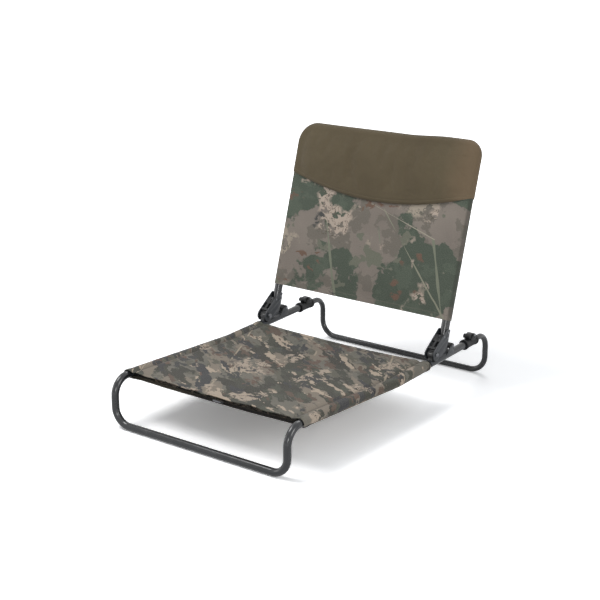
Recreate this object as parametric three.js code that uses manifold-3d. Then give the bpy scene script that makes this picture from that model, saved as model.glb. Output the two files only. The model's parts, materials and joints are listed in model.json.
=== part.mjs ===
// A low carp fishing chair: two bent floor loops, a cloth seat sleeve and a folding, locking backrest.
// Millimetres, +Z up. The sitter faces -Y. The origin is on the floor in the middle of the chair.
import * as THREE from "three";
import { mergeVertices } from "three/addons/utils/BufferGeometryUtils.js";
import loadManifold from "manifold-3d";

const wasm = await loadManifold();
wasm.setup();

// Driving dimensions: tubes
const seatTubeDiameter = 19;
const seatTubeWall = 1.2;
const legTubeDiameter = 15;
const legTubeWall = 1.2;
const backTubeDiameter = 22;
const backTubeWall = 1.2;

// Driving dimensions: the frame, on tube centrelines
const frontWidth = 530;
const rearSpread = 11;
const frontHeight = 124;
const dipHeight = 105.4;
const dipFromFront = 435;
const rearSlope = THREE.MathUtils.degToRad(1.8297);
const frontTopBend = 43;
const frontFloorBend = 43;
const dipBend = 400;
const rearTopBend = 38;
const rearFloorBend = 44;
const backCornerBend = 44;
const legInnerEnd = 46;

// Driving dimensions: the backrest and its pivot, measured from the dip along the rear of the side tube
const recline = THREE.MathUtils.degToRad(16.6);
const pivotFromDip = 161.8;
const pivotAboveTube = 23.4;
const backSetback = 40.5;
const backTubeStart = 36;
const backTubeTop = 530.5;

// Driving dimensions: clearances
const fitGap = 0.3;
const cutOverrun = 5;

// Driving dimensions: the two steel plates that are riveted to the foot of each backrest tube
const bracketSheet = 2.2;
const bracketFootRadius = 16;
const bracketRearReach = 46;
const bracketRearStart = 34;
const bracketRearTop = 67;
const bracketFrontTop = 66;
const bracketFrontReach = 31;
const bracketWaistReach = 28;
const bracketWaistHeight = 18;
const rivetRadius = 2;
const rivetHeadRadius = 4;
const rivetHeadHeight = 1.6;
const rivetHeights = [45, 58];

// Driving dimensions: the pivot bolt, its nut and its washers
const boltRadius = 4;
const boltHeadRadius = 5.6;
const boltHeadHeight = 3;
const boltSocketRadius = 2.4;
const boltSocketDepth = 1.8;
const boltTailLength = 1.2;
const boltEdge = 0.6;
const nutAcrossFlats = 12;
const nutHeight = 6;
const washerRadius = 8;

// Driving dimensions: the bracket that is welded on the side tube
const saddleWall = 1.2;
const saddleFront = 19;
const saddleRear = 91;
const ratchetWidth = 16;
const ratchetTipRadius = 12.5;
const ratchetToothDepth = 1.7;
const ratchetTeeth = 18;
const columnThickness = 12;
const columnFootLength = 14;
const columnTopLength = 8;
const rollerBehindPivot = 83.4;
const rollerAboveTube = 21.3;
const rollerRadius = 7.5;
const rollerWidth = 17;
const rollerPinRadius = 2.5;
const rollerPinHeadRadius = 4;
const rollerPinHeadHeight = 1.5;
const earRadius = 6;
const earThickness = 2;
const earFootLength = 7.5;
const gussetStart = 48;
const gussetStepReach = 61;
const gussetStepHeight = 12.5;
const gussetTopReach = 70;
const gussetTopHeight = 22.5;

// Driving dimensions: the lock bar, its pin and its spring
const barWidth = 20;
const barThickness = 9;
const barFrontInset = 0.5;
const barPinFromFoot = 51;
const barNoseFromFoot = 6;
const barPinRadius = 1.8;
const barPinHeadRadius = 3;
const barPinHeadHeight = 1.2;
const barNeckStart = 13;
const barNeckLength = 18;
const barNeckWidth = 11;
const barRib = 3;
const barPocketLength = 8;
const barSkin = 1.5;
const barWeb = 10;
const springWire = 1;
const springMeanRadius = 2.7;
const springTurns = 4;
const springPitch = 1.8;
const springFrontLeg = 14;
const springSlotWidth = 11;

// Driving dimensions: the cam clamp at the end of each side tube, between the bracket and the rear loop's bend
const bracketToClamp = 63.2;
const clampBeforeBend = 21;
const clampBehindCam = 17;
const camBehindTube = 12;
const tubeInClamp = 27;
const clampWall = 2.6;
const clampFlangeHeight = 1.4;
const clampFlangeLength = 6;
const cheekBeforeCam = 17;
const cheekBehindCam = 9;
const clampCheekGap = 15.2;
const clampCheekThickness = 3.4;
const clampCheekEye = 5;
const camPinAboveTube = 17.5;
const camPinRadius = 2;
const camPinHeadRadius = 3.4;
const camPinHeadHeight = 1.5;
const camRadius = 6.1;
const camOffset = 0.8;
const camWindowLength = 10.4;
const leverLength = 26;
const leverThickness = 7.6;
const leverLift = 1.4;
const paddleWidth = 19;
const leverRidges = 2;
const leverRidgeHeight = 0.8;
const leverRidgePitch = 2.4;
const padTop = 10.2;
const padWidth = 13;
const bushShoulder = 3;
const glideLength = 9.7;
const glideStemLength = 12;
const plugFlange = 2;
const plugStemLength = 4.5;

// Driving dimensions: the cloth
const clothThickness = 1.6;
const clothGap = 0.9;
const hemThickness = 0.9;
const hemWidth = 13;
const seatClothFront = 46;
const seatClothMiddleFront = 40;
const seatLowerFront = 57;
const clothToSaddle = 7.7;
const seatFrontSag = 2;
const seatRearSag = 8;
const seatLowerSag = 3;
const seatSeamAngle = THREE.MathUtils.degToRad(25);
const seatFoldHeight = 1.3;
const seatFoldFade = 90;
const seatFolds = 2.5;
const backClothStart = 89.5;
const backSleeveWall = 1.5;
const backPanelThickness = 18;
const capWall = 3.6;
const capGap = 0.4;
const capPadding = 10;
const capSideStart = 405;
const capMiddleStart = 356.5;

// Facet counts
const tubeSides = 16;
const tubeBoreSides = 8;
const boreSides = 12;
const turnedSides = 14;
const pinSides = 10;
const bendStep = THREE.MathUtils.degToRad(15);
const springSides = 5;
const springStepsPerTurn = 8;
const arcSteps = 4;
const sleeveSteps = 4;
const panelSteps = 12;

// Shares: a domed head's outline as shares of its radius and height
const domeShares = [[0, 1], [0.75, 0.8], [1, 0]];
// Shares of the seat's length at which the cloth has a row of points
const seatRowShares = [0.1, 0.25, 0.5, 0.85];

// Values worked out from the driving dimensions
const seatTubeRadius = seatTubeDiameter / 2;
const legTubeRadius = legTubeDiameter / 2;
const backTubeRadius = backTubeDiameter / 2;
const halfFront = frontWidth / 2;
const halfRear = (frontWidth + rearSpread) / 2;
const clampStart = pivotFromDip + saddleRear + bracketToClamp;
const seatTubeRearLength = clampStart + tubeInClamp;
const camFromDip = seatTubeRearLength + camBehindTube;
const clampEnd = camFromDip + clampBehindCam;
const rearStraight = clampEnd + clampBeforeBend + rearTopBend * Math.tan((Math.PI / 2 + rearSlope) / 2);
const loopSpan = dipFromFront + rearStraight * Math.cos(rearSlope);
const overallDepth = loopSpan + seatTubeRadius + legTubeRadius;
const frontY = seatTubeRadius - overallDepth / 2;
const dipY = frontY + dipFromFront;
const rearY = frontY + loopSpan;
const frontSlope = Math.atan2(dipHeight - frontHeight, dipFromFront);
const seatClothRear = dipFromFront + (pivotFromDip - saddleFront - clothToSaddle) * Math.cos(rearSlope);
const cheekInner = backTubeRadius + fitGap;
const cheekOuter = cheekInner + bracketSheet;
const saddleBore = seatTubeRadius + fitGap;
const saddleOuter = saddleBore + saddleWall;
const clampBore = seatTubeRadius + fitGap;
const clampOuter = clampBore + clampWall;

const chair = new THREE.Group();

function finish(color, roughness, metalness) {
  return new THREE.MeshStandardMaterial({ color, roughness, metalness, flatShading: true });
}
const tubeFinish = finish(0x3c3e41, 0.42, 0.3);
const steelFinish = finish(0x4c4f52, 0.4, 0.5);
const zincFinish = finish(0x8f9296, 0.35, 0.8);
const mouldedFinish = finish(0x1c1d1f, 0.55, 0);
const camouflageFinish = finish(0x7d7368, 0.95, 0);
const headrestFinish = finish(0x5c5340, 0.95, 0);

// Adds one named piece to a group.
function add(parent, name, geometry, material) {
  const mesh = new THREE.Mesh(geometry, material);
  mesh.name = name;
  parent.add(mesh);
}

// A copy that keeps only positions, with shared corners merged and flat slivers left out.
function closedMesh(geometry) {
  const plain = new THREE.BufferGeometry();
  plain.setAttribute("position", geometry.getAttribute("position").clone());
  if (geometry.index) plain.setIndex(geometry.index.clone());
  const merged = mergeVertices(plain, 1e-4);
  const index = merged.index.array;
  const kept = [];
  for (let i = 0; i < index.length; i += 3) {
    const [a, b, c] = [index[i], index[i + 1], index[i + 2]];
    if (a !== b && b !== c && c !== a) kept.push(a, b, c);
  }
  merged.setIndex(kept);
  return merged;
}

// A manifold solid from a closed three.js geometry.
function solid(geometry) {
  const mesh = closedMesh(geometry);
  return new wasm.Manifold(new wasm.Mesh({
    numProp: 3,
    vertProperties: new Float32Array(mesh.getAttribute("position").array),
    triVerts: new Uint32Array(mesh.index.array),
  }));
}

// A three.js geometry from a manifold solid.
function geometryOf(manifold) {
  const mesh = manifold.getMesh();
  const geometry = new THREE.BufferGeometry();
  geometry.setAttribute("position", new THREE.BufferAttribute(new Float32Array(mesh.vertProperties), 3));
  geometry.setIndex(new THREE.BufferAttribute(new Uint32Array(mesh.triVerts), 1));
  return geometry;
}

// The same closed mesh with its faces pointing out.
function facingOut(geometry) {
  const mesh = closedMesh(geometry);
  const position = mesh.getAttribute("position");
  const index = mesh.index.array;
  const corners = [new THREE.Vector3(), new THREE.Vector3(), new THREE.Vector3()];
  let volume = 0;
  for (let i = 0; i < index.length; i += 3) {
    corners.forEach((corner, k) => corner.fromBufferAttribute(position, index[i + k]));
    volume += corners[0].dot(corners[1].cross(corners[2]));
  }
  if (volume < 0) {
    const turned = [];
    for (let i = 0; i < index.length; i += 3) turned.push(index[i], index[i + 2], index[i + 1]);
    mesh.setIndex(turned);
  }
  return mesh;
}

// The mirror image of a geometry across the plane X = 0.
function mirrored(geometry) {
  const copy = closedMesh(geometry);
  copy.scale(-1, 1, 1);
  return facingOut(copy);
}

// A piece made for the right side, as it is on the given side.
function handed(geometry, sign) {
  return sign > 0 ? geometry : mirrored(geometry);
}

// Points of an arc about a centre, from angle a to angle b.
function arcPoints(cx, cy, radius, a, b, steps = arcSteps) {
  const points = [];
  for (let i = 0; i <= steps; i += 1) {
    const angle = a + (b - a) * i / steps;
    points.push(new THREE.Vector2(cx + radius * Math.cos(angle), cy + radius * Math.sin(angle)));
  }
  return points;
}

// A round outline whose flats lie at the radius, with one flat level at the bottom.
function roundPoints(radius, sides = boreSides, cx = 0, cy = 0) {
  const step = 2 * Math.PI / sides;
  return arcPoints(cx, cy, radius / Math.cos(step / 2), step / 2, 2 * Math.PI - step / 2, sides - 1);
}

// The upper half of such an outline, closed along its middle.
function upperHalfPoints(radius, sides = tubeSides) {
  const corners = roundPoints(radius, sides).slice(0, sides / 2);
  return [new THREE.Vector2(radius, 0), ...corners, new THREE.Vector2(-radius, 0)];
}

// A prism along X with its outline in (y, z), centred at x, with holes of the same kind.
function prismAcross(points, thickness, x = 0, holes = []) {
  const shape = new THREE.Shape(points);
  holes.forEach((hole) => shape.holes.push(new THREE.Path(hole)));
  const prism = new THREE.ExtrudeGeometry(shape, { depth: thickness, bevelEnabled: false });
  prism.applyMatrix4(new THREE.Matrix4().set(0, 0, 1, x - thickness / 2, 1, 0, 0, 0, 0, 1, 0, 0, 0, 0, 0, 1));
  return prism;
}

// A prism along Y from y0 to y1 with its outline in (x, z).
function prismAlong(points, y0, y1, holes = []) {
  const shape = new THREE.Shape(points);
  holes.forEach((hole) => shape.holes.push(new THREE.Path(hole)));
  const prism = new THREE.ExtrudeGeometry(shape, { depth: y1 - y0, bevelEnabled: false });
  prism.rotateX(Math.PI / 2);
  prism.translate(0, y1, 0);
  return prism;
}

// A prism along Z from z0 to z1 with its outline in (x, y).
function prismUp(points, z0, z1) {
  const prism = new THREE.ExtrudeGeometry(new THREE.Shape(points), { depth: z1 - z0, bevelEnabled: false });
  prism.translate(0, 0, z0);
  return prism;
}

// A box between two corners.
function boxBetween(x0, x1, y0, y1, z0, z1) {
  const box = new THREE.BoxGeometry(x1 - x0, y1 - y0, z1 - z0);
  box.translate((x0 + x1) / 2, (y0 + y1) / 2, (z0 + z1) / 2);
  return box;
}

// A piece turned about an axis along X through (y, z), from (radius, x) pairs.
function turnedAcross(profile, y, z, sides = turnedSides) {
  const points = profile.map(([radius, x]) => new THREE.Vector2(radius, x));
  const turned = new THREE.LatheGeometry(points, sides);
  turned.rotateZ(-Math.PI / 2);
  turned.translate(0, y, z);
  return closedMesh(turned);
}

// A pin along X with a domed head at each end, outside a grip that reaches from -grip to +grip.
function headedPin(shank, grip, headRadius, headHeight, y, z) {
  const dome = domeShares.map(([r, h]) => [r * headRadius, grip + h * headHeight]);
  const left = dome.map(([r, x]) => [r, -x]);
  const right = dome.slice().reverse();
  return turnedAcross([...left, [shank, -grip], [shank, grip], ...right], y, z, pinSides);
}

// A curve through fixed stations, so that straights take one step and bends take several.
// Its frames are carried outwards from the middle station, where the given direction points up.
class StationCurve extends THREE.Curve {
  constructor(points, tangents, up) {
    super();
    this.points = points;
    this.tangents = tangents;
    this.up = up;
  }
  getPoint(u, target = new THREE.Vector3()) {
    return target.copy(this.points[Math.round(u * (this.points.length - 1))]);
  }
  getPointAt(u, target) {
    return this.getPoint(u, target);
  }
  computeFrenetFrames() {
    const { tangents, up } = this;
    const middle = Math.floor(tangents.length / 2);
    const normals = [];
    const carry = (from, to) => normals[from].clone()
      .applyQuaternion(new THREE.Quaternion().setFromUnitVectors(tangents[from], tangents[to]));
    normals[middle] = up.clone().addScaledVector(tangents[middle], -up.dot(tangents[middle])).normalize();
    for (let i = middle + 1; i < tangents.length; i += 1) normals[i] = carry(i - 1, i);
    for (let i = middle - 1; i >= 0; i -= 1) normals[i] = carry(i + 1, i);
    const binormals = tangents.map((tangent, i) => new THREE.Vector3().crossVectors(tangent, normals[i]));
    return { tangents, normals, binormals };
  }
}

// The centreline of a bent tube: corner points, each inner one rounded to its bend radius.
function bentCurve(corners, bends, up) {
  const points = [corners[0].clone()];
  const tangents = [corners[1].clone().sub(corners[0]).normalize()];
  for (let i = 1; i < corners.length - 1; i += 1) {
    const into = corners[i].clone().sub(corners[i - 1]).normalize();
    const out = corners[i + 1].clone().sub(corners[i]).normalize();
    const turn = into.angleTo(out);
    const radius = bends[i - 1];
    const inward = out.clone().addScaledVector(into, -out.dot(into)).normalize();
    const start = corners[i].clone().addScaledVector(into, -radius * Math.tan(turn / 2));
    const steps = Math.max(2, Math.ceil(turn / bendStep));
    for (let k = 0; k <= steps; k += 1) {
      const angle = turn * k / steps;
      points.push(start.clone()
        .addScaledVector(into, radius * Math.sin(angle))
        .addScaledVector(inward, radius * (1 - Math.cos(angle))));
      tangents.push(into.clone().multiplyScalar(Math.cos(angle)).addScaledVector(inward, Math.sin(angle)));
    }
  }
  points.push(corners[corners.length - 1].clone());
  tangents.push(tangents[tangents.length - 1].clone());
  return new StationCurve(points, tangents, up);
}

// A curve through points that are close together.
function freeCurve(points, up) {
  const last = points.length - 1;
  const tangents = points.map((point, i) => points[Math.min(i + 1, last)].clone()
    .sub(points[Math.max(i - 1, 0)]).normalize());
  return new StationCurve(points, tangents, up);
}

// A tube swept along a curve, hollow where a bore radius is given.
function sweptTube(curve, radius, bore = 0, sides = tubeSides) {
  const outline = new THREE.Shape(roundPoints(radius, sides));
  if (bore > 0) outline.holes.push(new THREE.Path(roundPoints(bore, tubeBoreSides)));
  return new THREE.ExtrudeGeometry(outline, { extrudePath: curve, steps: curve.points.length - 1 });
}

// Where the line from an outside point touches a circle about the origin, going round by the given sign.
function tangentPoint(x, y, radius, sign) {
  const angle = Math.atan2(y, x) + sign * Math.acos(radius / Math.hypot(x, y));
  return { angle, x: radius * Math.cos(angle), y: radius * Math.sin(angle) };
}

// A thin closed sheet between two grids of points, [row][column].
function sheetBetween(outer, inner) {
  const rows = outer.length;
  const columns = outer[0].length;
  const points = [...outer.flat(), ...inner.flat()];
  const o = (i, j) => i * columns + j;
  const n = (i, j) => rows * columns + i * columns + j;
  const index = [];
  const quad = (a, b, c, d) => index.push(a, b, c, a, c, d);
  for (let i = 0; i < rows - 1; i += 1) {
    for (let j = 0; j < columns - 1; j += 1) {
      quad(o(i, j), o(i, j + 1), o(i + 1, j + 1), o(i + 1, j));
      quad(n(i, j), n(i + 1, j), n(i + 1, j + 1), n(i, j + 1));
    }
    quad(o(i, 0), o(i + 1, 0), n(i + 1, 0), n(i, 0));
    quad(o(i, columns - 1), n(i, columns - 1), n(i + 1, columns - 1), o(i + 1, columns - 1));
  }
  for (let j = 0; j < columns - 1; j += 1) {
    quad(o(0, j), n(0, j), n(0, j + 1), o(0, j + 1));
    quad(o(rows - 1, j), o(rows - 1, j + 1), n(rows - 1, j + 1), n(rows - 1, j));
  }
  const geometry = new THREE.BufferGeometry();
  geometry.setAttribute("position", new THREE.Float32BufferAttribute(points.flatMap((p) => p.toArray()), 3));
  geometry.setIndex(index);
  return facingOut(geometry);
}

// A point on the rear straight of a side tube, a distance along it from the dip.
function rearPoint(x, along) {
  return new THREE.Vector3(x, dipY + along * Math.cos(rearSlope), dipHeight + along * Math.sin(rearSlope));
}

// Half the width between the side tubes' centrelines, and their height, at a place along the chair.
function halfWidthAt(y) {
  return halfRear + (halfFront - halfRear) * Math.max(0, (dipY - y) / dipFromFront);
}
function tubeHeightAt(y) {
  return dipHeight + (y - dipY) * Math.tan(y < dipY ? frontSlope : rearSlope);
}

// The front loop: one tube from the left rear end, down to the floor and back to the right rear end.
const frontCurve = bentCurve([
  rearPoint(-halfRear, seatTubeRearLength),
  new THREE.Vector3(-halfRear, dipY, dipHeight),
  new THREE.Vector3(-halfFront, frontY, frontHeight),
  new THREE.Vector3(-halfFront, frontY, seatTubeRadius),
  new THREE.Vector3(halfFront, frontY, seatTubeRadius),
  new THREE.Vector3(halfFront, frontY, frontHeight),
  new THREE.Vector3(halfRear, dipY, dipHeight),
  rearPoint(halfRear, seatTubeRearLength),
], [dipBend, frontTopBend, frontFloorBend, frontFloorBend, frontTopBend, dipBend], new THREE.Vector3(0, 0, 1));
add(chair, "seat_frame", sweptTube(frontCurve, seatTubeRadius, seatTubeRadius - seatTubeWall), tubeFinish);

// The rear loop slides in the ends of the front loop.
const rearCurve = bentCurve([
  rearPoint(-halfRear, legInnerEnd),
  rearPoint(-halfRear, rearStraight),
  new THREE.Vector3(-halfRear, rearY, legTubeRadius),
  new THREE.Vector3(halfRear, rearY, legTubeRadius),
  rearPoint(halfRear, rearStraight),
  rearPoint(halfRear, legInnerEnd),
], [rearTopBend, rearFloorBend, rearFloorBend, rearTopBend], new THREE.Vector3(0, 0, 1));
add(chair, "rear_leg_frame", sweptTube(rearCurve, legTubeRadius, legTubeRadius - legTubeWall), tubeFinish);

// The lines that the hinge and the clamps follow: Y runs along the rear straights, from the dip.
const rearLine = new THREE.Group();
rearLine.position.set(0, dipY, dipHeight);
rearLine.rotation.x = rearSlope;
chair.add(rearLine);

// The backrest's own frame: X across, Y backwards, Z up along the back, with the pivot as its origin.
const backLine = new THREE.Group();
backLine.position.copy(rearPoint(0, pivotFromDip));
backLine.position.y -= pivotAboveTube * Math.sin(rearSlope);
backLine.position.z += pivotAboveTube * Math.cos(rearSlope);
backLine.rotation.x = -recline;
chair.add(backLine);

// The seat bracket: a saddle on the tube, a column with the toothed head, and two ears for the stop roller.
function toothPoints() {
  const points = [];
  const pitch = 2 * Math.PI / ratchetTeeth;
  const steepShare = 0.2;
  for (let i = 0; i < ratchetTeeth; i += 1) {
    const tip = arcPoints(0, pivotAboveTube, ratchetTipRadius, i * pitch, i * pitch, 1)[0];
    const root = arcPoints(0, pivotAboveTube, ratchetTipRadius - ratchetToothDepth,
      (i + steepShare) * pitch, (i + steepShare) * pitch, 1)[0];
    points.push(tip, root);
  }
  return points;
}

function seatBracket() {
  const saddle = solid(prismAlong(upperHalfPoints(saddleOuter), -saddleFront, saddleRear));
  const head = solid(prismAcross(toothPoints(), ratchetWidth));
  const column = solid(prismAcross([
    new THREE.Vector2(-columnFootLength, saddleBore / 2),
    new THREE.Vector2(columnFootLength, saddleBore / 2),
    new THREE.Vector2(columnTopLength, pivotAboveTube),
    new THREE.Vector2(-columnTopLength, pivotAboveTube),
  ], columnThickness));
  const earPoints = [
    new THREE.Vector2(gussetStart, earThickness),
    new THREE.Vector2(rollerBehindPivot + earFootLength, earThickness),
    ...arcPoints(rollerBehindPivot, rollerAboveTube, earRadius, 0, Math.PI / 2, arcSteps),
    new THREE.Vector2(gussetTopReach, gussetTopHeight),
    new THREE.Vector2(gussetStepReach, gussetStepHeight),
  ];
  const earCentre = (rollerWidth + earThickness) / 2 + fitGap;
  const ears = [-earCentre, earCentre].map((x) => solid(prismAcross(earPoints, earThickness, x)));
  const tubeBore = solid(prismAlong(roundPoints(saddleBore, tubeSides), -saddleFront - cutOverrun, saddleRear + cutOverrun));
  const boltHole = solid(prismAcross(roundPoints(boltRadius + fitGap, boreSides, 0, pivotAboveTube),
    ratchetWidth + cutOverrun));
  const rollerHole = solid(prismAcross(
    roundPoints(rollerPinRadius + fitGap, pinSides, rollerBehindPivot, rollerAboveTube),
    2 * (earCentre + earThickness) + cutOverrun));
  return geometryOf(saddle.add(head).add(column).add(ears[0]).add(ears[1])
    .subtract(tubeBore).subtract(boltHole).subtract(rollerHole));
}

// The pivot bolt: a button head with a socket on the outside, a plain end on the inside.
function pivotBolt() {
  const seat = cheekOuter + fitGap;
  const tail = -(seat + fitGap + nutHeight + boltTailLength);
  return turnedAcross([
    [0, tail],
    [boltRadius - boltEdge, tail],
    [boltRadius, tail + boltEdge],
    [boltRadius, seat],
    [boltHeadRadius, seat],
    [boltHeadRadius, seat + boltHeadHeight / 2],
    [boltHeadRadius - 2 * boltEdge, seat + boltHeadHeight],
    [boltSocketRadius, seat + boltHeadHeight],
    [boltSocketRadius, seat + boltHeadHeight - boltSocketDepth],
    [0, seat + boltHeadHeight - boltSocketDepth],
  ], 0, pivotAboveTube);
}

// The clamp body: a moulded collar on the tube's end with two cheeks that hold the cam lever.
function clampBody() {
  const flangeRadius = clampOuter + clampFlangeHeight;
  const cheekCentre = (clampCheekGap + clampCheekThickness) / 2;
  const cheekPoints = [
    new THREE.Vector2(camFromDip - cheekBeforeCam, clampWall),
    new THREE.Vector2(camFromDip + cheekBehindCam, clampWall),
    new THREE.Vector2(camFromDip + cheekBehindCam, clampOuter),
    ...arcPoints(camFromDip, camPinAboveTube, clampCheekEye, 0, Math.PI * 0.6, 2 * arcSteps),
    new THREE.Vector2(camFromDip - cheekBeforeCam, clampOuter + clampFlangeHeight),
  ];
  let body = solid(prismAlong(roundPoints(clampOuter, tubeSides), clampStart, clampEnd));
  [clampStart, clampEnd - clampFlangeLength].forEach((y) => {
    body = body.add(solid(prismAlong(roundPoints(flangeRadius, tubeSides), y, y + clampFlangeLength)));
  });
  [-cheekCentre, cheekCentre].forEach((x) => {
    body = body.add(solid(prismAcross(cheekPoints, clampCheekThickness, x)));
  });
  const bore = solid(prismAlong(roundPoints(clampBore, tubeSides), clampStart - cutOverrun, clampEnd + cutOverrun));
  const window = solid(boxBetween(-clampCheekGap / 2, clampCheekGap / 2,
    camFromDip - camWindowLength / 2, camFromDip + camWindowLength / 2, 0, clampOuter + cutOverrun));
  const pinHole = solid(prismAcross(roundPoints(camPinRadius + fitGap, pinSides, camFromDip, camPinAboveTube),
    clampCheekGap + 2 * clampCheekThickness + cutOverrun));
  return geometryOf(body.subtract(bore).subtract(window).subtract(pinHole));
}

// The cam lever: an eccentric cam on the pin, a handle that lies over the collar, and a ribbed paddle.
function clampLever() {
  const camCentre = camPinAboveTube - camOffset;
  const top = camCentre + camRadius;
  const leverStart = camFromDip - leverLength;
  const paddleEnd = camFromDip - cheekBeforeCam - fitGap;
  const ridges = [];
  for (let i = 0; i < leverRidges; i += 1) {
    const y = paddleEnd - (i + 0.5) * leverRidgePitch;
    ridges.push(new THREE.Vector2(y + leverRidgePitch / 4, top + leverLift));
    ridges.push(new THREE.Vector2(y, top + leverLift + leverRidgeHeight));
    ridges.push(new THREE.Vector2(y - leverRidgePitch / 4, top + leverLift));
  }
  const tipRadius = leverThickness / 2;
  const tip = arcPoints(leverStart + tipRadius, top + leverLift - tipRadius, tipRadius,
    Math.PI / 2, 3 * Math.PI / 2);
  const undersideStart = camFromDip - camRadius * Math.cos(Math.asin((top - leverThickness - camCentre) / camRadius));
  const handlePoints = [
    ...arcPoints(camFromDip, camCentre, camRadius, -Math.PI, Math.PI / 2, 3 * arcSteps),
    ...ridges,
    ...tip,
    new THREE.Vector2(paddleEnd, top + leverLift - leverThickness),
    new THREE.Vector2(undersideStart, camCentre),
  ];
  const paddlePoints = [
    new THREE.Vector2(paddleEnd, top + leverLift),
    ...ridges,
    ...tip,
    new THREE.Vector2(paddleEnd, top + leverLift - leverThickness),
  ];
  const handle = solid(prismAcross(handlePoints, clampCheekGap - 4 * fitGap));
  const paddle = solid(prismAcross(paddlePoints, paddleWidth));
  const pinHole = solid(prismAcross(roundPoints(camPinRadius + fitGap, pinSides, camFromDip, camPinAboveTube),
    clampCheekGap + cutOverrun));
  return geometryOf(handle.add(paddle).subtract(pinHole));
}

// The pad that the cam presses on the inner tube.
function clampPad() {
  const half = camWindowLength / 2 - fitGap;
  const block = solid(boxBetween(-padWidth / 2, padWidth / 2, camFromDip - half, camFromDip + half, 0, padTop));
  const tube = solid(prismAlong(roundPoints(legTubeRadius + fitGap, tubeSides),
    camFromDip - half - cutOverrun, camFromDip + half + cutOverrun));
  const above = solid(boxBetween(-padWidth, padWidth, camFromDip - padWidth, camFromDip + padWidth,
    legTubeRadius / 2, padTop + cutOverrun));
  return geometryOf(block.intersect(above).subtract(tube));
}

// A bracket plate: a sloped front, a straight rear over the tube, a waist and a round foot on the pivot.
const footFront = tangentPoint(bracketFrontReach, bracketFrontTop, bracketFootRadius, 1);
const footRear = tangentPoint(bracketWaistReach, bracketWaistHeight, bracketFootRadius, -1);

function bracketPlate(side) {
  const outline = [
    new THREE.Vector2(bracketWaistReach, bracketWaistHeight),
    new THREE.Vector2(bracketRearReach, bracketRearStart),
    new THREE.Vector2(bracketRearReach, bracketRearTop),
    new THREE.Vector2(bracketFrontReach, bracketFrontTop),
    ...arcPoints(0, 0, bracketFootRadius, footFront.angle, footRear.angle + 2 * Math.PI, 3 * arcSteps),
  ];
  const pin = barPoint(barPinFromFoot, barMiddle);
  return prismAcross(outline, bracketSheet, side * (cheekInner + bracketSheet / 2), [
    roundPoints(boltRadius + fitGap),
    roundPoints(barPinRadius + fitGap, pinSides, pin.x, pin.y),
    ...rivetHeights.map((height) => roundPoints(rivetRadius + fitGap, pinSides, backSetback, height)),
  ]);
}

// Places on the lock bar: u runs up the cheeks' front edge from the foot, w goes in from that edge.
const edgeLength = Math.hypot(bracketFrontReach - footFront.x, bracketFrontTop - footFront.y);
const edgeY = (bracketFrontReach - footFront.x) / edgeLength;
const edgeZ = (bracketFrontTop - footFront.y) / edgeLength;
const barMiddle = barFrontInset + barThickness / 2;
function barPoint(u, w) {
  return new THREE.Vector2(footFront.x + u * edgeY + w * edgeZ, footFront.y + u * edgeZ - w * edgeY);
}

// The lock bar: a waisted pawl that hinges on the upper pin and ends in a nose over the toothed head.
function lockBar() {
  const under = barFrontInset + barThickness;
  const noseRadius = ratchetTipRadius + fitGap;
  const noseStart = Math.asin(barNoseFromFoot / noseRadius);
  const noseEnd = Math.acos((bracketFootRadius - under) / noseRadius);
  const nose = arcPoints(0, 0, noseRadius, noseEnd, noseStart)
    .map((p) => barPoint(p.y, bracketFootRadius - p.x));
  const eye = arcPoints(barPinFromFoot, barMiddle, barThickness / 2, -Math.PI / 2, Math.PI / 2, 2 * arcSteps)
    .map((p) => barPoint(p.x, p.y));
  const outline = [barPoint(barNoseFromFoot, barFrontInset), ...eye, ...nose];
  const pin = barPoint(barPinFromFoot, barMiddle);
  let bar = solid(prismAcross(outline, barWidth));
  // A cut into both sides of the bar that leaves a given width between u = start and u = end.
  const cutSides = (start, end, front, rear, widthLeft) => {
    const depth = (barWidth - widthLeft) / 2 + cutOverrun;
    const outside = [barPoint(start, front), barPoint(end, front), barPoint(end, rear), barPoint(start, rear)];
    [-1, 1].forEach((side) => {
      bar = bar.subtract(solid(prismAcross(outside, depth, side * (widthLeft + depth) / 2)));
    });
  };
  const neckEnd = barNeckStart + barNeckLength;
  cutSides(barNeckStart, neckEnd, -cutOverrun, under + cutOverrun, barNeckWidth);
  cutSides(neckEnd + barRib, neckEnd + barRib + barPocketLength, barFrontInset + barSkin, under - barSkin, barWeb);
  const slotStart = barPinFromFoot - barThickness / 2;
  const slot = [
    barPoint(slotStart, -cutOverrun),
    barPoint(slotStart + barThickness + cutOverrun, -cutOverrun),
    barPoint(slotStart + barThickness + cutOverrun, under + cutOverrun),
    barPoint(slotStart, under + cutOverrun),
  ];
  const legDepth = barMiddle - springMeanRadius + springWire / 2 + fitGap;
  const groove = [
    barPoint(barPinFromFoot - springFrontLeg - springWire, -cutOverrun),
    barPoint(slotStart + springWire, -cutOverrun),
    barPoint(slotStart + springWire, legDepth),
    barPoint(barPinFromFoot - springFrontLeg - springWire, legDepth),
  ];
  const pinHole = roundPoints(barPinRadius + fitGap, pinSides, pin.x, pin.y);
  return geometryOf(bar.subtract(solid(prismAcross(slot, springSlotWidth)))
    .subtract(solid(prismAcross(groove, 2 * springWire, springTurns * springPitch / 2)))
    .subtract(solid(prismAcross(pinHole, barWidth + cutOverrun))));
}

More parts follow.
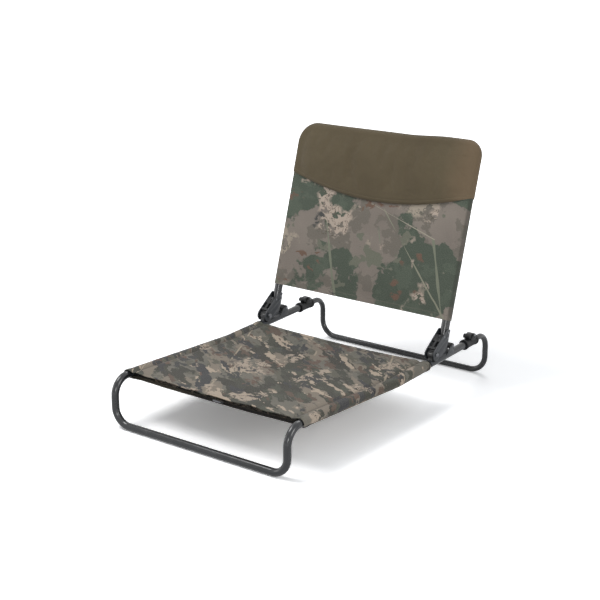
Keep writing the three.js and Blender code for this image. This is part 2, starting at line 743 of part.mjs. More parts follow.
// The spring: a wound wire on the upper pin, one leg on the lock bar's front, one on the backrest tube.
function lockSpring() {
  const pin = barPoint(barPinFromFoot, barMiddle);
  const halfLength = springTurns * springPitch / 2;
  const alongBar = Math.atan2(-edgeZ, -edgeY);
  const startAngle = alongBar - Math.PI / 2;
  const legReach = backTubeRadius + springWire / 2 + fitGap;
  const restY = backSetback - Math.sqrt(legReach * legReach - halfLength * halfLength);
  const rest = new THREE.Vector2(restY - pin.x, backTubeStart + springWire - pin.y);
  const touch = tangentPoint(rest.x, rest.y, springMeanRadius, 1);
  const whole = springTurns * 2 * Math.PI;
  let turn = (touch.angle - startAngle) % (2 * Math.PI);
  if (turn < 0) turn += 2 * Math.PI;
  const total = whole - 2 * Math.PI + turn;
  const steps = Math.round(springStepsPerTurn * total / (2 * Math.PI));
  const points = [];
  const at = (angle, radius, x) => new THREE.Vector3(x,
    pin.x + radius * Math.cos(angle), pin.y + radius * Math.sin(angle));
  const first = at(startAngle, springMeanRadius, halfLength);
  points.push(first.clone().add(new THREE.Vector3(0, -edgeY * springFrontLeg, -edgeZ * springFrontLeg)));
  for (let i = 0; i <= steps; i += 1) {
    const share = i / steps;
    points.push(at(startAngle + total * share, springMeanRadius, halfLength - share * 2 * halfLength));
  }
  points.push(new THREE.Vector3(-halfLength, pin.x + rest.x, pin.y + rest.y));
  return facingOut(sweptTube(freeCurve(points, new THREE.Vector3(1, 0, 0)), springWire / 2, 0, springSides));
}

// The pieces of each side.
[["left", -1], ["right", 1]].forEach(([sideName, sign]) => {
  const line = new THREE.Group();
  line.position.x = sign * halfRear;
  rearLine.add(line);
  const hinge = new THREE.Group();
  hinge.position.y = pivotFromDip;
  line.add(hinge);
  const back = new THREE.Group();
  back.position.x = sign * halfRear;
  backLine.add(back);
  const name = (piece) => `${sideName}_${piece}`;

  // On the side tube, at the pivot
  add(hinge, name("seat_bracket"), seatBracket(), steelFinish);
  add(hinge, name("stop_roller"), prismAcross(
    roundPoints(rollerRadius, boreSides, rollerBehindPivot, rollerAboveTube), rollerWidth, 0,
    [roundPoints(rollerPinRadius + fitGap, pinSides, rollerBehindPivot, rollerAboveTube)]), mouldedFinish);
  const earOuter = rollerWidth / 2 + fitGap + earThickness;
  add(hinge, name("stop_pin"), headedPin(rollerPinRadius, earOuter + fitGap, rollerPinHeadRadius,
    rollerPinHeadHeight, rollerBehindPivot, rollerAboveTube), zincFinish);
  add(hinge, name("pivot_bolt"), handed(pivotBolt(), sign), zincFinish);
  const nutCentre = -sign * (cheekOuter + fitGap + nutHeight / 2);
  add(hinge, name("pivot_nut"), prismAcross(roundPoints(nutAcrossFlats / 2, 6, 0, pivotAboveTube), nutHeight,
    nutCentre, [roundPoints(boltRadius + fitGap, boreSides, 0, pivotAboveTube)]), zincFinish);
  const washerInner = ratchetWidth / 2 + fitGap;
  const washerThickness = cheekInner - fitGap - washerInner;
  [["outer", sign], ["inner", -sign]].forEach(([place, way]) => {
    add(hinge, name(`${place}_washer`), prismAcross(
      roundPoints(washerRadius, boreSides, 0, pivotAboveTube), washerThickness,
      way * (washerInner + washerThickness / 2),
      [roundPoints(boltRadius + fitGap, boreSides, 0, pivotAboveTube)]), mouldedFinish);
  });

  // On the end of the side tube
  add(line, name("clamp_body"), clampBody(), mouldedFinish);
  add(line, name("clamp_lever"), clampLever(), mouldedFinish);
  add(line, name("clamp_pad"), clampPad(), mouldedFinish);
  const cheekFace = clampCheekGap / 2 + clampCheekThickness;
  add(line, name("clamp_pin"), headedPin(camPinRadius, cheekFace + fitGap, camPinHeadRadius,
    camPinHeadHeight, camFromDip, camPinAboveTube), zincFinish);
  add(line, name("clamp_bush"), prismAlong(roundPoints(clampBore - fitGap, tubeSides),
    camFromDip + camWindowLength / 2 + bushShoulder, clampEnd - fitGap,
    [roundPoints(legTubeRadius + fitGap, tubeSides)]), mouldedFinish);

  // On the inner end of the rear loop
  const glideOuter = seatTubeRadius - seatTubeWall - fitGap;
  const glideCollar = solid(prismAlong(roundPoints(glideOuter, tubeSides), legInnerEnd - fitGap - glideLength,
    legInnerEnd - fitGap));
  const glideStem = solid(prismAlong(roundPoints(legTubeRadius - legTubeWall - fitGap),
    legInnerEnd - fitGap - glideLength, legInnerEnd + glideStemLength));
  add(line, name("leg_glide"), geometryOf(glideCollar.add(glideStem)), mouldedFinish);

  // On the backrest
  add(back, name("back_bracket"), bracketPlate(sign), steelFinish);
  add(back, name("inner_bracket_plate"), bracketPlate(-sign), steelFinish);
  rivetHeights.forEach((height, i) => {
    add(back, name(`bracket_rivet_${i + 1}`), headedPin(rivetRadius, cheekOuter + fitGap, rivetHeadRadius,
      rivetHeadHeight, backSetback, height), zincFinish);
  });
  const plugFlangeBody = solid(prismUp(roundPoints(backTubeRadius, tubeSides, 0, backSetback),
    backTubeStart - fitGap - plugFlange, backTubeStart - fitGap));
  const plugStem = solid(prismUp(roundPoints(backTubeRadius - backTubeWall - fitGap, tubeSides, 0, backSetback),
    backTubeStart - fitGap - plugFlange, backTubeStart + plugStemLength));
  add(back, name("back_tube_plug"), geometryOf(plugFlangeBody.add(plugStem)), mouldedFinish);
  const pin = barPoint(barPinFromFoot, barMiddle);
  add(back, name("lock_pin"), headedPin(barPinRadius, cheekOuter + fitGap, barPinHeadRadius,
    barPinHeadHeight, pin.x, pin.y), zincFinish);
  add(back, name("lock_bar"), lockBar(), mouldedFinish);
  add(back, name("lock_spring"), lockSpring(), zincFinish);
});

// The backrest's tube, from a given height on the left side to the same height on the right.
function backCurve(start) {
  return bentCurve([
    new THREE.Vector3(-halfRear, backSetback, start),
    new THREE.Vector3(-halfRear, backSetback, backTubeTop),
    new THREE.Vector3(halfRear, backSetback, backTubeTop),
    new THREE.Vector3(halfRear, backSetback, start),
  ], [backCornerBend, backCornerBend], new THREE.Vector3(0, 0, 1));
}

// The flat outline between the tube's centrelines, above a given height, as a thick slab for cutting.
function betweenTubes(start) {
  const bendX = halfRear - backCornerBend;
  const bendZ = backTubeTop - backCornerBend;
  const points = [
    new THREE.Vector2(-halfRear, start),
    new THREE.Vector2(halfRear, start),
    ...arcPoints(bendX, bendZ, backCornerBend, 0, Math.PI / 2, 2 * arcSteps),
    ...arcPoints(-bendX, bendZ, backCornerBend, Math.PI / 2, Math.PI, 2 * arcSteps),
  ];
  return solid(prismAlong(points, -backSetback, 2 * backSetback));
}

// A panel between the tubes whose front and rear faces run from a side depth to a middle depth.
function panel(start, sideDepth, frontDepth, rearDepth) {
  const steps = 2 * arcSteps;
  const share = (i) => 2 * i / steps - 1;
  const depthAt = (s, middle) => middle + (sideDepth - middle) * s * s * s * s;
  const points = [];
  for (let i = 0; i <= steps; i += 1) {
    points.push(new THREE.Vector2(share(i) * halfRear, backSetback - depthAt(share(i), frontDepth)));
  }
  for (let i = steps; i >= 0; i -= 1) {
    points.push(new THREE.Vector2(share(i) * halfRear, backSetback + depthAt(share(i), rearDepth)));
  }
  return solid(prismUp(points, start, backTubeTop)).intersect(betweenTubes(start));
}

const tubeHoles = [-halfRear, halfRear].flatMap((x) => rivetHeights.map((height) => solid(prismAcross(
  roundPoints(rivetRadius + fitGap, pinSides, backSetback, height), 2 * backTubeDiameter, x))));
const backTube = tubeHoles.reduce((tube, hole) => tube.subtract(hole),
  solid(sweptTube(backCurve(backTubeStart), backTubeRadius, backTubeRadius - backTubeWall)));
add(backLine, "backrest_frame", geometryOf(backTube), tubeFinish);

// The backrest's cover: a padded panel with a sleeve round the tube.
const coverRadius = backTubeRadius + fitGap + backSleeveWall;
const coverHalf = backPanelThickness / 2;
const cover = solid(sweptTube(backCurve(backClothStart), coverRadius))
  .add(panel(backClothStart, coverRadius, coverHalf, coverHalf))
  .subtract(solid(sweptTube(backCurve(backClothStart - cutOverrun), backTubeRadius + fitGap)));
add(backLine, "backrest_cover", geometryOf(cover), camouflageFinish);

// The headrest cap: a padded hood that is pulled down over the top of the cover, with a curved lower edge.
function capEdge() {
  const points = [];
  const steps = 3 * arcSteps;
  const reach = halfRear + coverRadius + capWall + cutOverrun;
  for (let i = 0; i <= steps; i += 1) {
    const share = 2 * i / steps - 1;
    points.push(new THREE.Vector2(share * reach,
      capMiddleStart + (capSideStart - capMiddleStart) * share * share));
  }
  const top = backTubeTop + coverRadius + capWall + 2 * cutOverrun;
  points.push(new THREE.Vector2(reach, top), new THREE.Vector2(-reach, top));
  return solid(prismAlong(points, -backSetback, 3 * backSetback));
}
const capStart = capMiddleStart - cutOverrun;
const capInner = coverRadius + capGap;
const capOuterBody = solid(sweptTube(backCurve(capStart), capInner + capWall))
  .add(panel(capStart, capInner + capWall, coverHalf + capGap + capPadding, coverHalf + capGap + capWall));
const capCavity = solid(sweptTube(backCurve(capStart - cutOverrun), capInner))
  .add(panel(capStart - cutOverrun, capInner, coverHalf + capGap, coverHalf + capGap));
add(backLine, "headrest_cap", geometryOf(capOuterBody.intersect(capEdge()).subtract(capCavity)), headrestFinish);

// The seat cloth: a section across the chair at y, as points with their outward directions.
function seatSection(y, above, sag) {
  const radius = seatTubeRadius + clothGap;
  const half = halfWidthAt(y);
  const height = tubeHeightAt(y);
  const seam = above ? -seatSeamAngle : -seatSeamAngle - fitGap / radius;
  const vertical = above ? Math.PI / 2 : -Math.PI / 2;
  const section = [];
  for (let i = 0; i <= sleeveSteps; i += 1) {
    const angle = seam + (vertical - seam) * i / sleeveSteps;
    section.push({ x: half + radius * Math.cos(angle), z: height + radius * Math.sin(angle),
      nx: Math.cos(angle), nz: Math.sin(angle) });
  }
  for (let i = 1; i < panelSteps / 2; i += 1) {
    const share = 1 - 2 * i / panelSteps;
    const drop = sag * (1 - share * share);
    section.push({ x: half * share, z: height + (above ? radius : -radius) - drop, nx: 0, nz: above ? 1 : -1 });
  }
  const middle = { x: 0, z: height + (above ? radius : -radius) - sag, nx: 0, nz: above ? 1 : -1 };
  const otherSide = section.map((p) => ({ x: -p.x, z: p.z, nx: -p.nx, nz: p.nz }));
  return [...otherSide, middle, ...section.reverse()];
}

function seatCloth(above, front, middleFront, frontSag, rearSag) {
  const length = seatClothRear - front;
  const rows = [0, hemWidth, hemWidth + clothThickness, ...seatRowShares.map((share) => share * length),
    dipFromFront - front, length - hemWidth - clothThickness, length - hemWidth, length].sort((a, b) => a - b);
  const outer = [];
  const inner = [];
  rows.forEach((distance) => {
    const y = frontY + front + distance;
    const sag = frontSag + (rearSag - frontSag) * distance / length;
    const hemmed = distance <= hemWidth || distance >= length - hemWidth;
    const thickness = clothThickness + (hemmed ? hemThickness : 0);
    const half = halfWidthAt(y);
    const section = seatSection(y, above, sag);
    const at = (p, offset) => {
      const across = Math.min(1, Math.abs(p.x) / half);
      const bulge = (middleFront - front) * (1 - across * across) * (1 - distance / length);
      const wave = Math.cos(Math.PI * (2 * seatFolds * across + 1)) - 1;
      const fold = Math.abs(p.nz) < 1 ? 0
        : seatFoldHeight * wave / 2 * (1 - across) * Math.exp(-distance / seatFoldFade);
      return new THREE.Vector3(p.x + offset * p.nx, y + bulge, p.z + offset * p.nz + fold);
    };
    outer.push(section.map((p) => at(p, thickness)));
    inner.push(section.map((p) => at(p, 0)));
  });
  return sheetBetween(outer, inner);
}
add(chair, "seat_cover_upper",
  seatCloth(true, seatClothFront, seatClothMiddleFront, seatFrontSag, seatRearSag), camouflageFinish);
add(chair, "seat_cover_lower",
  seatCloth(false, seatLowerFront, seatLowerFront, seatLowerSag, seatLowerSag), camouflageFinish);

export default chair;
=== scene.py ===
import json
import math
import bpy
import bmesh
from mathutils import Matrix, Vector, noise

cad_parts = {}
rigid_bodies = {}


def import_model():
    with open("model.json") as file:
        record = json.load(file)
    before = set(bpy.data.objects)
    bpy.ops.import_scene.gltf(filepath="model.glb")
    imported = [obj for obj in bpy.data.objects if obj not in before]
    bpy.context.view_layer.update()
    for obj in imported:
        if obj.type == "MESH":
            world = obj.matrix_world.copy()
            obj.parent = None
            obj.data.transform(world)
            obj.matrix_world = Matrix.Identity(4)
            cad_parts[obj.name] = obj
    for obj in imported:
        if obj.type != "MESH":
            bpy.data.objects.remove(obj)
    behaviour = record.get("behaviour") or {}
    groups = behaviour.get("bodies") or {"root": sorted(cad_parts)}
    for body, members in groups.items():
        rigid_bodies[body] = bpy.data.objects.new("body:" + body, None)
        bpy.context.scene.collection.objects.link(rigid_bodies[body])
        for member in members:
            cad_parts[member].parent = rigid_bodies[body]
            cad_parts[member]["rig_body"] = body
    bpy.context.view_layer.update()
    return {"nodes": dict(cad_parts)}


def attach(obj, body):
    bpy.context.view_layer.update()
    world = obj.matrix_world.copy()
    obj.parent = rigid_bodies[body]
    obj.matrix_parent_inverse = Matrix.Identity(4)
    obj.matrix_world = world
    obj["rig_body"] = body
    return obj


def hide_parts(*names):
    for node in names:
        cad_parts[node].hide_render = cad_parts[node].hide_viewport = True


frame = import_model()
cad_nodes = frame["nodes"]
scene = bpy.context.scene
MM = 0.001

# ---------------------------------------------------------------- sizes, millimetres
SEAT_TUBE, LEG_TUBE, BACK_TUBE, TUBE_WALL = 9.5, 7.5, 11.0, 1.2  # the tubes' radii, and their wall
HALF_FRONT, HALF_REAR = 265.0, 270.5  # from the middle to the side tubes' centres
FRONT_HEIGHT, DIP_HEIGHT, DIP_FROM_FRONT = 124.0, 105.4, 435.0
FRONT_TOP_BEND, FRONT_FLOOR_BEND, DIP_BEND, REAR_TOP_BEND, REAR_FLOOR_BEND = 43.0, 43.0, 400.0, 38.0, 44.0
SEAT_TUBE_REAR, LEG_INNER_END, REAR_BEND_START = 343.0, 46.0, 393.0  # along the rear straights
FRONT_SLOPE, REAR_SLOPE = math.atan2(DIP_HEIGHT - FRONT_HEIGHT, DIP_FROM_FRONT), math.radians(1.8297)
REAR_STRAIGHT = REAR_BEND_START + REAR_TOP_BEND * math.tan((math.pi / 2 + REAR_SLOPE) / 2)
LOOP_SPAN = DIP_FROM_FRONT + REAR_STRAIGHT * math.cos(REAR_SLOPE)
FRONT_Y = (SEAT_TUBE - LEG_TUBE - LOOP_SPAN) / 2
DIP_Y = FRONT_Y + DIP_FROM_FRONT
REAR_Y = FRONT_Y + LOOP_SPAN

RECLINE = math.radians(16.6)
PIVOT_FROM_DIP, PIVOT_ABOVE_TUBE, HEAD_RADIUS = 161.8, 23.4, 18.5
BACK_SETBACK, BACK_TUBE_START, BACK_TUBE_TOP, BACK_CORNER = 40.5, 36.0, 530.5, 44.0

HEM = 12.5  # the hems' width on the seat and on the backrest's cover
CLOTH, CLOTH_GAP, HEM_THICK = 1.6, 0.9, 0.9
SEAT_CLOTH_FRONT, SEAT_CLOTH_MIDDLE, SEAT_LOWER_FRONT, SEAT_CLOTH_REAR = 46.0, 40.0, 57.0, 570.0
CROSS_SEAM = 322.0  # from the front bar's middle to the seam across each side of the sleeve
CHANNEL = 0.928  # where the upper layer is stitched beside each tube, as a share of the half width
SLEEVE_SEAM = math.radians(25)  # how far under the tube's middle the two layers are sewn together
TAB_PLACE, TAB_WIDTH = 16.0, 24.0

COVER_START, COVER_RADIUS, COVER_HALF, COVER_CLOTH = 89.5, 12.8, 9.0, 1.4
CAP_WALL, CAP_GAP, CAP_PADDING, CAP_REACH, CAP_CLOTH = 3.6, 0.4, 10.0, 14.8, 1.6
CAP_SIDE, CAP_MIDDLE, CAP_SEAM = 405.0, 356.5, 9.0  # its lower edge's height, and the stitches over it

# Where each further sheet starts in the cloths' UV maps, in metres
REAR_SHEET, LOWER_SHEET, TAB_SHEET = 1.4, 1.0, 2.0

# Y runs along the rear straights from the dip; the back's own frame has its origin on the pivot.
LINE = Matrix.Translation((0, DIP_Y, DIP_HEIGHT)) @ Matrix.Rotation(REAR_SLOPE, 4, "X")
PIVOT = LINE @ Vector((0, PIVOT_FROM_DIP, PIVOT_ABOVE_TUBE))
BACK = Matrix.Translation(PIVOT) @ Matrix.Rotation(-RECLINE, 4, "X")


# ---------------------------------------------------------------- shader nodes
WHITE = (1, 1, 1, 1)


class Nodes:
    """Short calls that add nodes to a node tree."""

    def __init__(self, tree):
        self.tree = tree

    def put(self, socket, value):
        if isinstance(value, bpy.types.NodeSocket):
            self.tree.links.new(value, socket)
        else:
            socket.default_value = value

    def add(self, kind, out=0, settings=None, **values):
        """Adds a node and gives one of its outputs. i0, i1 and so on are inputs by number."""
        node = self.tree.nodes.new("ShaderNode" + kind)
        for key, value in (settings or {}).items():
            setattr(node, key, value)
        for key, value in values.items():
            numbered = key[0] == "i" and key[1:].isdigit()
            self.put(node.inputs[int(key[1:]) if numbered else key.replace("_", " ")], value)
        return node.outputs[out]

    def end(self, kind, shader):
        self.put(self.tree.nodes.new("ShaderNode" + kind).inputs[0], shader)

    def rays(self, *kinds):
        """1 for rays of any of these kinds."""
        paths = self.tree.nodes.new("ShaderNodeLightPath").outputs
        total = paths[f"Is {kinds[0]} Ray"]
        for kind in kinds[1:]:
            total = self.math("MAXIMUM", total, paths[f"Is {kind} Ray"])
        return total

    def place(self, kind="Object", turn=0.0, shift=(0, 0, 0)):
        return self.add("Mapping", Vector=self.add("TexCoord", out=kind), Rotation=(0, 0, turn), Location=shift)

    def split(self, vector):
        parts = self.tree.nodes.new("ShaderNodeSeparateXYZ")
        self.put(parts.inputs[0], vector)
        return parts.outputs[0], parts.outputs[1]

    def cloth(self, uv="cut"):
        """How far across and along its cloth a point lies, in metres."""
        return self.split(self.add("UVMap", settings={"uv_map": uv}))

    def noise(self, vector, scale, detail=3.0, roughness=0.55):
        return self.add("TexNoise", Vector=vector, Scale=scale, Detail=detail, Roughness=roughness)

    def math(self, operation, first, second=0.0, third=0.0):
        return self.add("Math", settings={"operation": operation}, i0=first, i1=second, i2=third)

    def times(self, first, second):
        return self.math("MULTIPLY", first, second)

    def vector_math(self, operation, first, out=0, **more):
        return self.add("VectorMath", out=out, settings={"operation": operation}, i0=first, **more)

    def step(self, value, low, high):
        """0 up to low, 1 from high."""
        return self.add("MapRange", settings={"clamp": True}, Value=value,
                        From_Min=low, From_Max=high, To_Min=0.0, To_Max=1.0)

    def mix(self, factor, first, second):
        node = self.tree.nodes.new("ShaderNodeMix")
        node.data_type = "RGBA"
        self.put(node.inputs[0], factor)
        self.put(node.inputs[6], first)
        self.put(node.inputs[7], second)
        return node.outputs[2]


class Finish(Nodes):
    """A material with one shader."""

    def __init__(self, name, roughness=0.5, metallic=0.0, **constants):
        self.material = bpy.data.materials.new(name)
        self.material.use_nodes = True
        super().__init__(self.material.node_tree)
        self.shader = self.tree.nodes["Principled BSDF"]
        self.shader.inputs["Roughness"].default_value = roughness
        self.shader.inputs["Metallic"].default_value = metallic
        for socket, value in constants.items():
            self.shader.inputs[socket.replace("_", " ")].default_value = value

    def colour(self, value):
        self.put(self.shader.inputs["Base Color"], value)

    def rough(self, least, cloud, more):
        """Roughness from least up, by more where the cloud is dense."""
        self.put(self.shader.inputs["Roughness"], self.math("ADD", least, self.times(cloud, more)))

    def bump(self, height, strength, distance, before=None):
        values = {"Height": height, "Strength": strength, "Distance": distance}
        if before is not None:
            values["Normal"] = before
        normal = self.add("Bump", **values)
        self.put(self.shader.inputs["Normal"], normal)
        return normal


# ---------------------------------------------------------------- camera, light and floor
CAMERA_PLACE, CAMERA_DOWN, CAMERA_TURN, CAMERA_LENS = (2.0404, -2.7373, 1.3236), 17.19, 37.05, 84.81
ROOM_COLOUR, ROOM_STRENGTH = (0.93, 0.96, 1.0, 1), 0.4
FLOOR, BRIGHT_FLOOR = (0.86, 0.86, 0.86, 1), (1.42, 1.42, 1.42, 1)
FLOOR_SIZE, FLOOR_UNDER = 60, 0.0003  # metres
GLOW_FROM, GLOW_TO, LEAST_GLOW = 0.7, 2.0, 0.05  # metres from the chair's middle, and the glow there
LAMPS = (  # name, place, height aimed at, size, watts
    ("key_lamp", (-1.3, -1.2, 3.1), 0.2, 1.6, 53),
    ("fill_lamp", (2.9, -0.4, 1.4), 0.25, 1.4, 27),
    ("front_lamp", (1.5, -2.4, 0.8), 0.25, 0.7, 12),
    ("back_lamp", (-0.4, 1.7, 2.6), 0.3, 1.3, 15),
    ("low_lamp", (-2.5, -1.7, 0.75), 0.25, 1.2, 7),
)


def make_camera():
    data = bpy.data.cameras.new("camera")
    data.lens, data.sensor_width = CAMERA_LENS, 36.0
    camera = bpy.data.objects.new("camera", data)
    scene.collection.objects.link(camera)
    camera.location = CAMERA_PLACE
    camera.rotation_euler = (math.radians(90 - CAMERA_DOWN), 0, math.radians(CAMERA_TURN))
    scene.camera = camera


def soft_lamp(name, place, aim, size, power):
    data = bpy.data.lights.new(name, "AREA")
    data.shape, data.size, data.energy = "DISK", size, power
    lamp = bpy.data.objects.new(name, data)
    scene.collection.objects.link(lamp)
    lamp.location = place
    lamp.rotation_euler = (Vector((0, 0, aim)) - Vector(place)).to_track_quat("-Z", "Y").to_euler()


def empty_tree(owner):
    owner.use_nodes = True
    owner.node_tree.nodes.clear()
    return Nodes(owner.node_tree)


def make_room():
    """A dim room that is white to the camera and in reflections."""
    world = bpy.data.worlds.new("studio")
    scene.world = world
    nodes = empty_tree(world)
    room = nodes.add("Background", Color=ROOM_COLOUR, Strength=ROOM_STRENGTH)
    white = nodes.add("Background", Color=WHITE)
    seen = nodes.rays("Camera", "Transmission", "Glossy")
    nodes.end("OutputWorld", nodes.add("MixShader", i0=seen, i1=room, i2=white))


def make_floor():
    """A floor that is white where the camera sees it lit, and glows white far from the chair."""
    material = bpy.data.materials.new("studio_floor")
    nodes = empty_tree(material)
    matt = nodes.add("MixShader", i0=nodes.rays("Camera"), i1=nodes.add("BsdfDiffuse", Color=FLOOR),
                     i2=nodes.add("BsdfDiffuse", Color=BRIGHT_FLOOR))
    reach = nodes.vector_math("LENGTH", nodes.add("TexCoord", out="Object"), out=1)
    far = nodes.add("MapRange", settings={"interpolation_type": "SMOOTHSTEP"}, Value=reach,
                    From_Min=GLOW_FROM, From_Max=GLOW_TO, To_Min=LEAST_GLOW, To_Max=1.0)
    level = nodes.times(far, nodes.rays("Camera", "Glossy"))
    glow = nodes.add("Emission", Color=WHITE, Strength=level)
    nodes.end("OutputMaterial", nodes.add("AddShader", i0=matt, i1=glow))
    bpy.ops.mesh.primitive_plane_add(size=FLOOR_SIZE, location=(0, 0, -FLOOR_UNDER))
    floor = bpy.context.object
    floor.name = "studio_floor"
    bpy.ops.object.transform_apply(location=True, rotation=True, scale=True)
    floor.data.materials.append(material)


bpy.ops.object.select_all(action="DESELECT")
make_camera()
scene.view_settings.view_transform = "Standard"
make_room()
for lamp in LAMPS:
    soft_lamp(*lamp)
make_floor()


# ---------------------------------------------------------------- materials
STITCH_PITCH, STITCH_SHARE, STITCH_HALF = 4.2, 0.68, 0.5  # the share of the pitch that a stitch takes, half its width


def linear(red, green, blue):
    """A colour as 0-255 values, as the shader takes it."""
    def one(value):
        value /= 255
        return value / 12.92 if value <= 0.04045 else ((value + 0.055) / 1.055) ** 2.4
    return (one(red), one(green), one(blue), 1.0)


def painted_tube():
    finish = Finish("tube_paint", 0.3, 0.0, Specular_IOR_Level=0.5, Coat_Weight=0.3, Coat_Roughness=0.13)
    where = finish.place()
    cloud = finish.noise(where, 9, 3)
    peel = finish.noise(where, 700, 2)
    dust = finish.step(finish.noise(where, 34, 5, 0.6), 0.5, 0.85)
    base = finish.mix(finish.step(cloud, 0.3, 0.7), linear(24, 26, 29), linear(32, 34, 37))
    finish.colour(finish.mix(finish.times(dust, 0.16), base, linear(104, 104, 103)))
    finish.rough(0.21, dust, 0.14)
    finish.bump(peel, 0.04, 0.0002)
    return finish.material


def painted_steel(name="bracket_paint", shaded_head=False):
    finish = Finish(name, 0.42, 0.0, Coat_Weight=0.15, Coat_Roughness=0.3)
    where = finish.place()
    cloud = finish.noise(where, 40, 4)
    paint = finish.mix(finish.step(cloud, 0.35, 0.7), linear(31, 34, 38), linear(45, 49, 53))
    if shaded_head:
        # Painted shade: the toothed head round the pivot, between the plates, is made near black.
        from_pivot = finish.vector_math("SUBTRACT", where, i1=tuple(PIVOT * MM))
        beside = finish.vector_math("MULTIPLY", from_pivot, i1=(0, 1, 1))
        on_head = finish.math("LESS_THAN", finish.vector_math("LENGTH", beside, out=1), HEAD_RADIUS * MM)
        paint = finish.mix(on_head, paint, linear(22, 23, 25))
    finish.colour(paint)
    finish.rough(0.36, cloud, 0.15)
    finish.bump(finish.noise(where, 700, 2), 0.15, 0.0002)
    return finish.material


def plated_steel():
    finish = Finish("fastener_steel", 0.34, 0.85)
    where = finish.place()
    cloud = finish.noise(where, 120, 4)
    finish.colour(finish.mix(finish.step(cloud, 0.35, 0.7), linear(98, 99, 102), linear(142, 143, 146)))
    finish.rough(0.26, cloud, 0.22)
    finish.bump(finish.noise(where, 1500, 2), 0.08, 0.0001)
    return finish.material


def moulded_plastic():
    finish = Finish("black_plastic", 0.5, Specular_IOR_Level=0.35)
    where = finish.place()
    cloud = finish.noise(where, 70, 4)
    finish.colour(finish.mix(finish.step(cloud, 0.3, 0.75), linear(20, 21, 22), linear(31, 32, 33)))
    finish.rough(0.44, cloud, 0.2)
    finish.bump(finish.noise(where, 1800, 2), 0.2, 0.0001)
    return finish.material


def weave(finish, where, thread, strength, before=None):
    """A plain weave: two sets of threads that pass over and under each other."""
    across, along = (finish.add("TexWave", settings={"wave_type": "BANDS", "bands_direction": direction},
                                Vector=where, Scale=thread, Distortion=0.0) for direction in "XY")
    both = finish.math("ADD", across, along)
    slub = finish.noise(where, thread * 1.3, 2)
    return finish.bump(finish.math("ADD", both, finish.times(slub, 0.8)), strength, 0.0004, before)


def stitches(finish, lines, uv="cut"):
    """A mask with one row of stitches along each given line of the cloth's second direction, in metres."""
    across, along = finish.cloth(uv)
    pitches = finish.math("FRACT", finish.math("DIVIDE", across, STITCH_PITCH * MM))
    dash = finish.math("LESS_THAN", pitches, STITCH_SHARE)
    total = None
    for line in lines:
        near = finish.math("COMPARE", along, line, STITCH_HALF * MM)
        total = near if total is None else finish.math("MAXIMUM", total, near)
    return finish.times(dash, total)


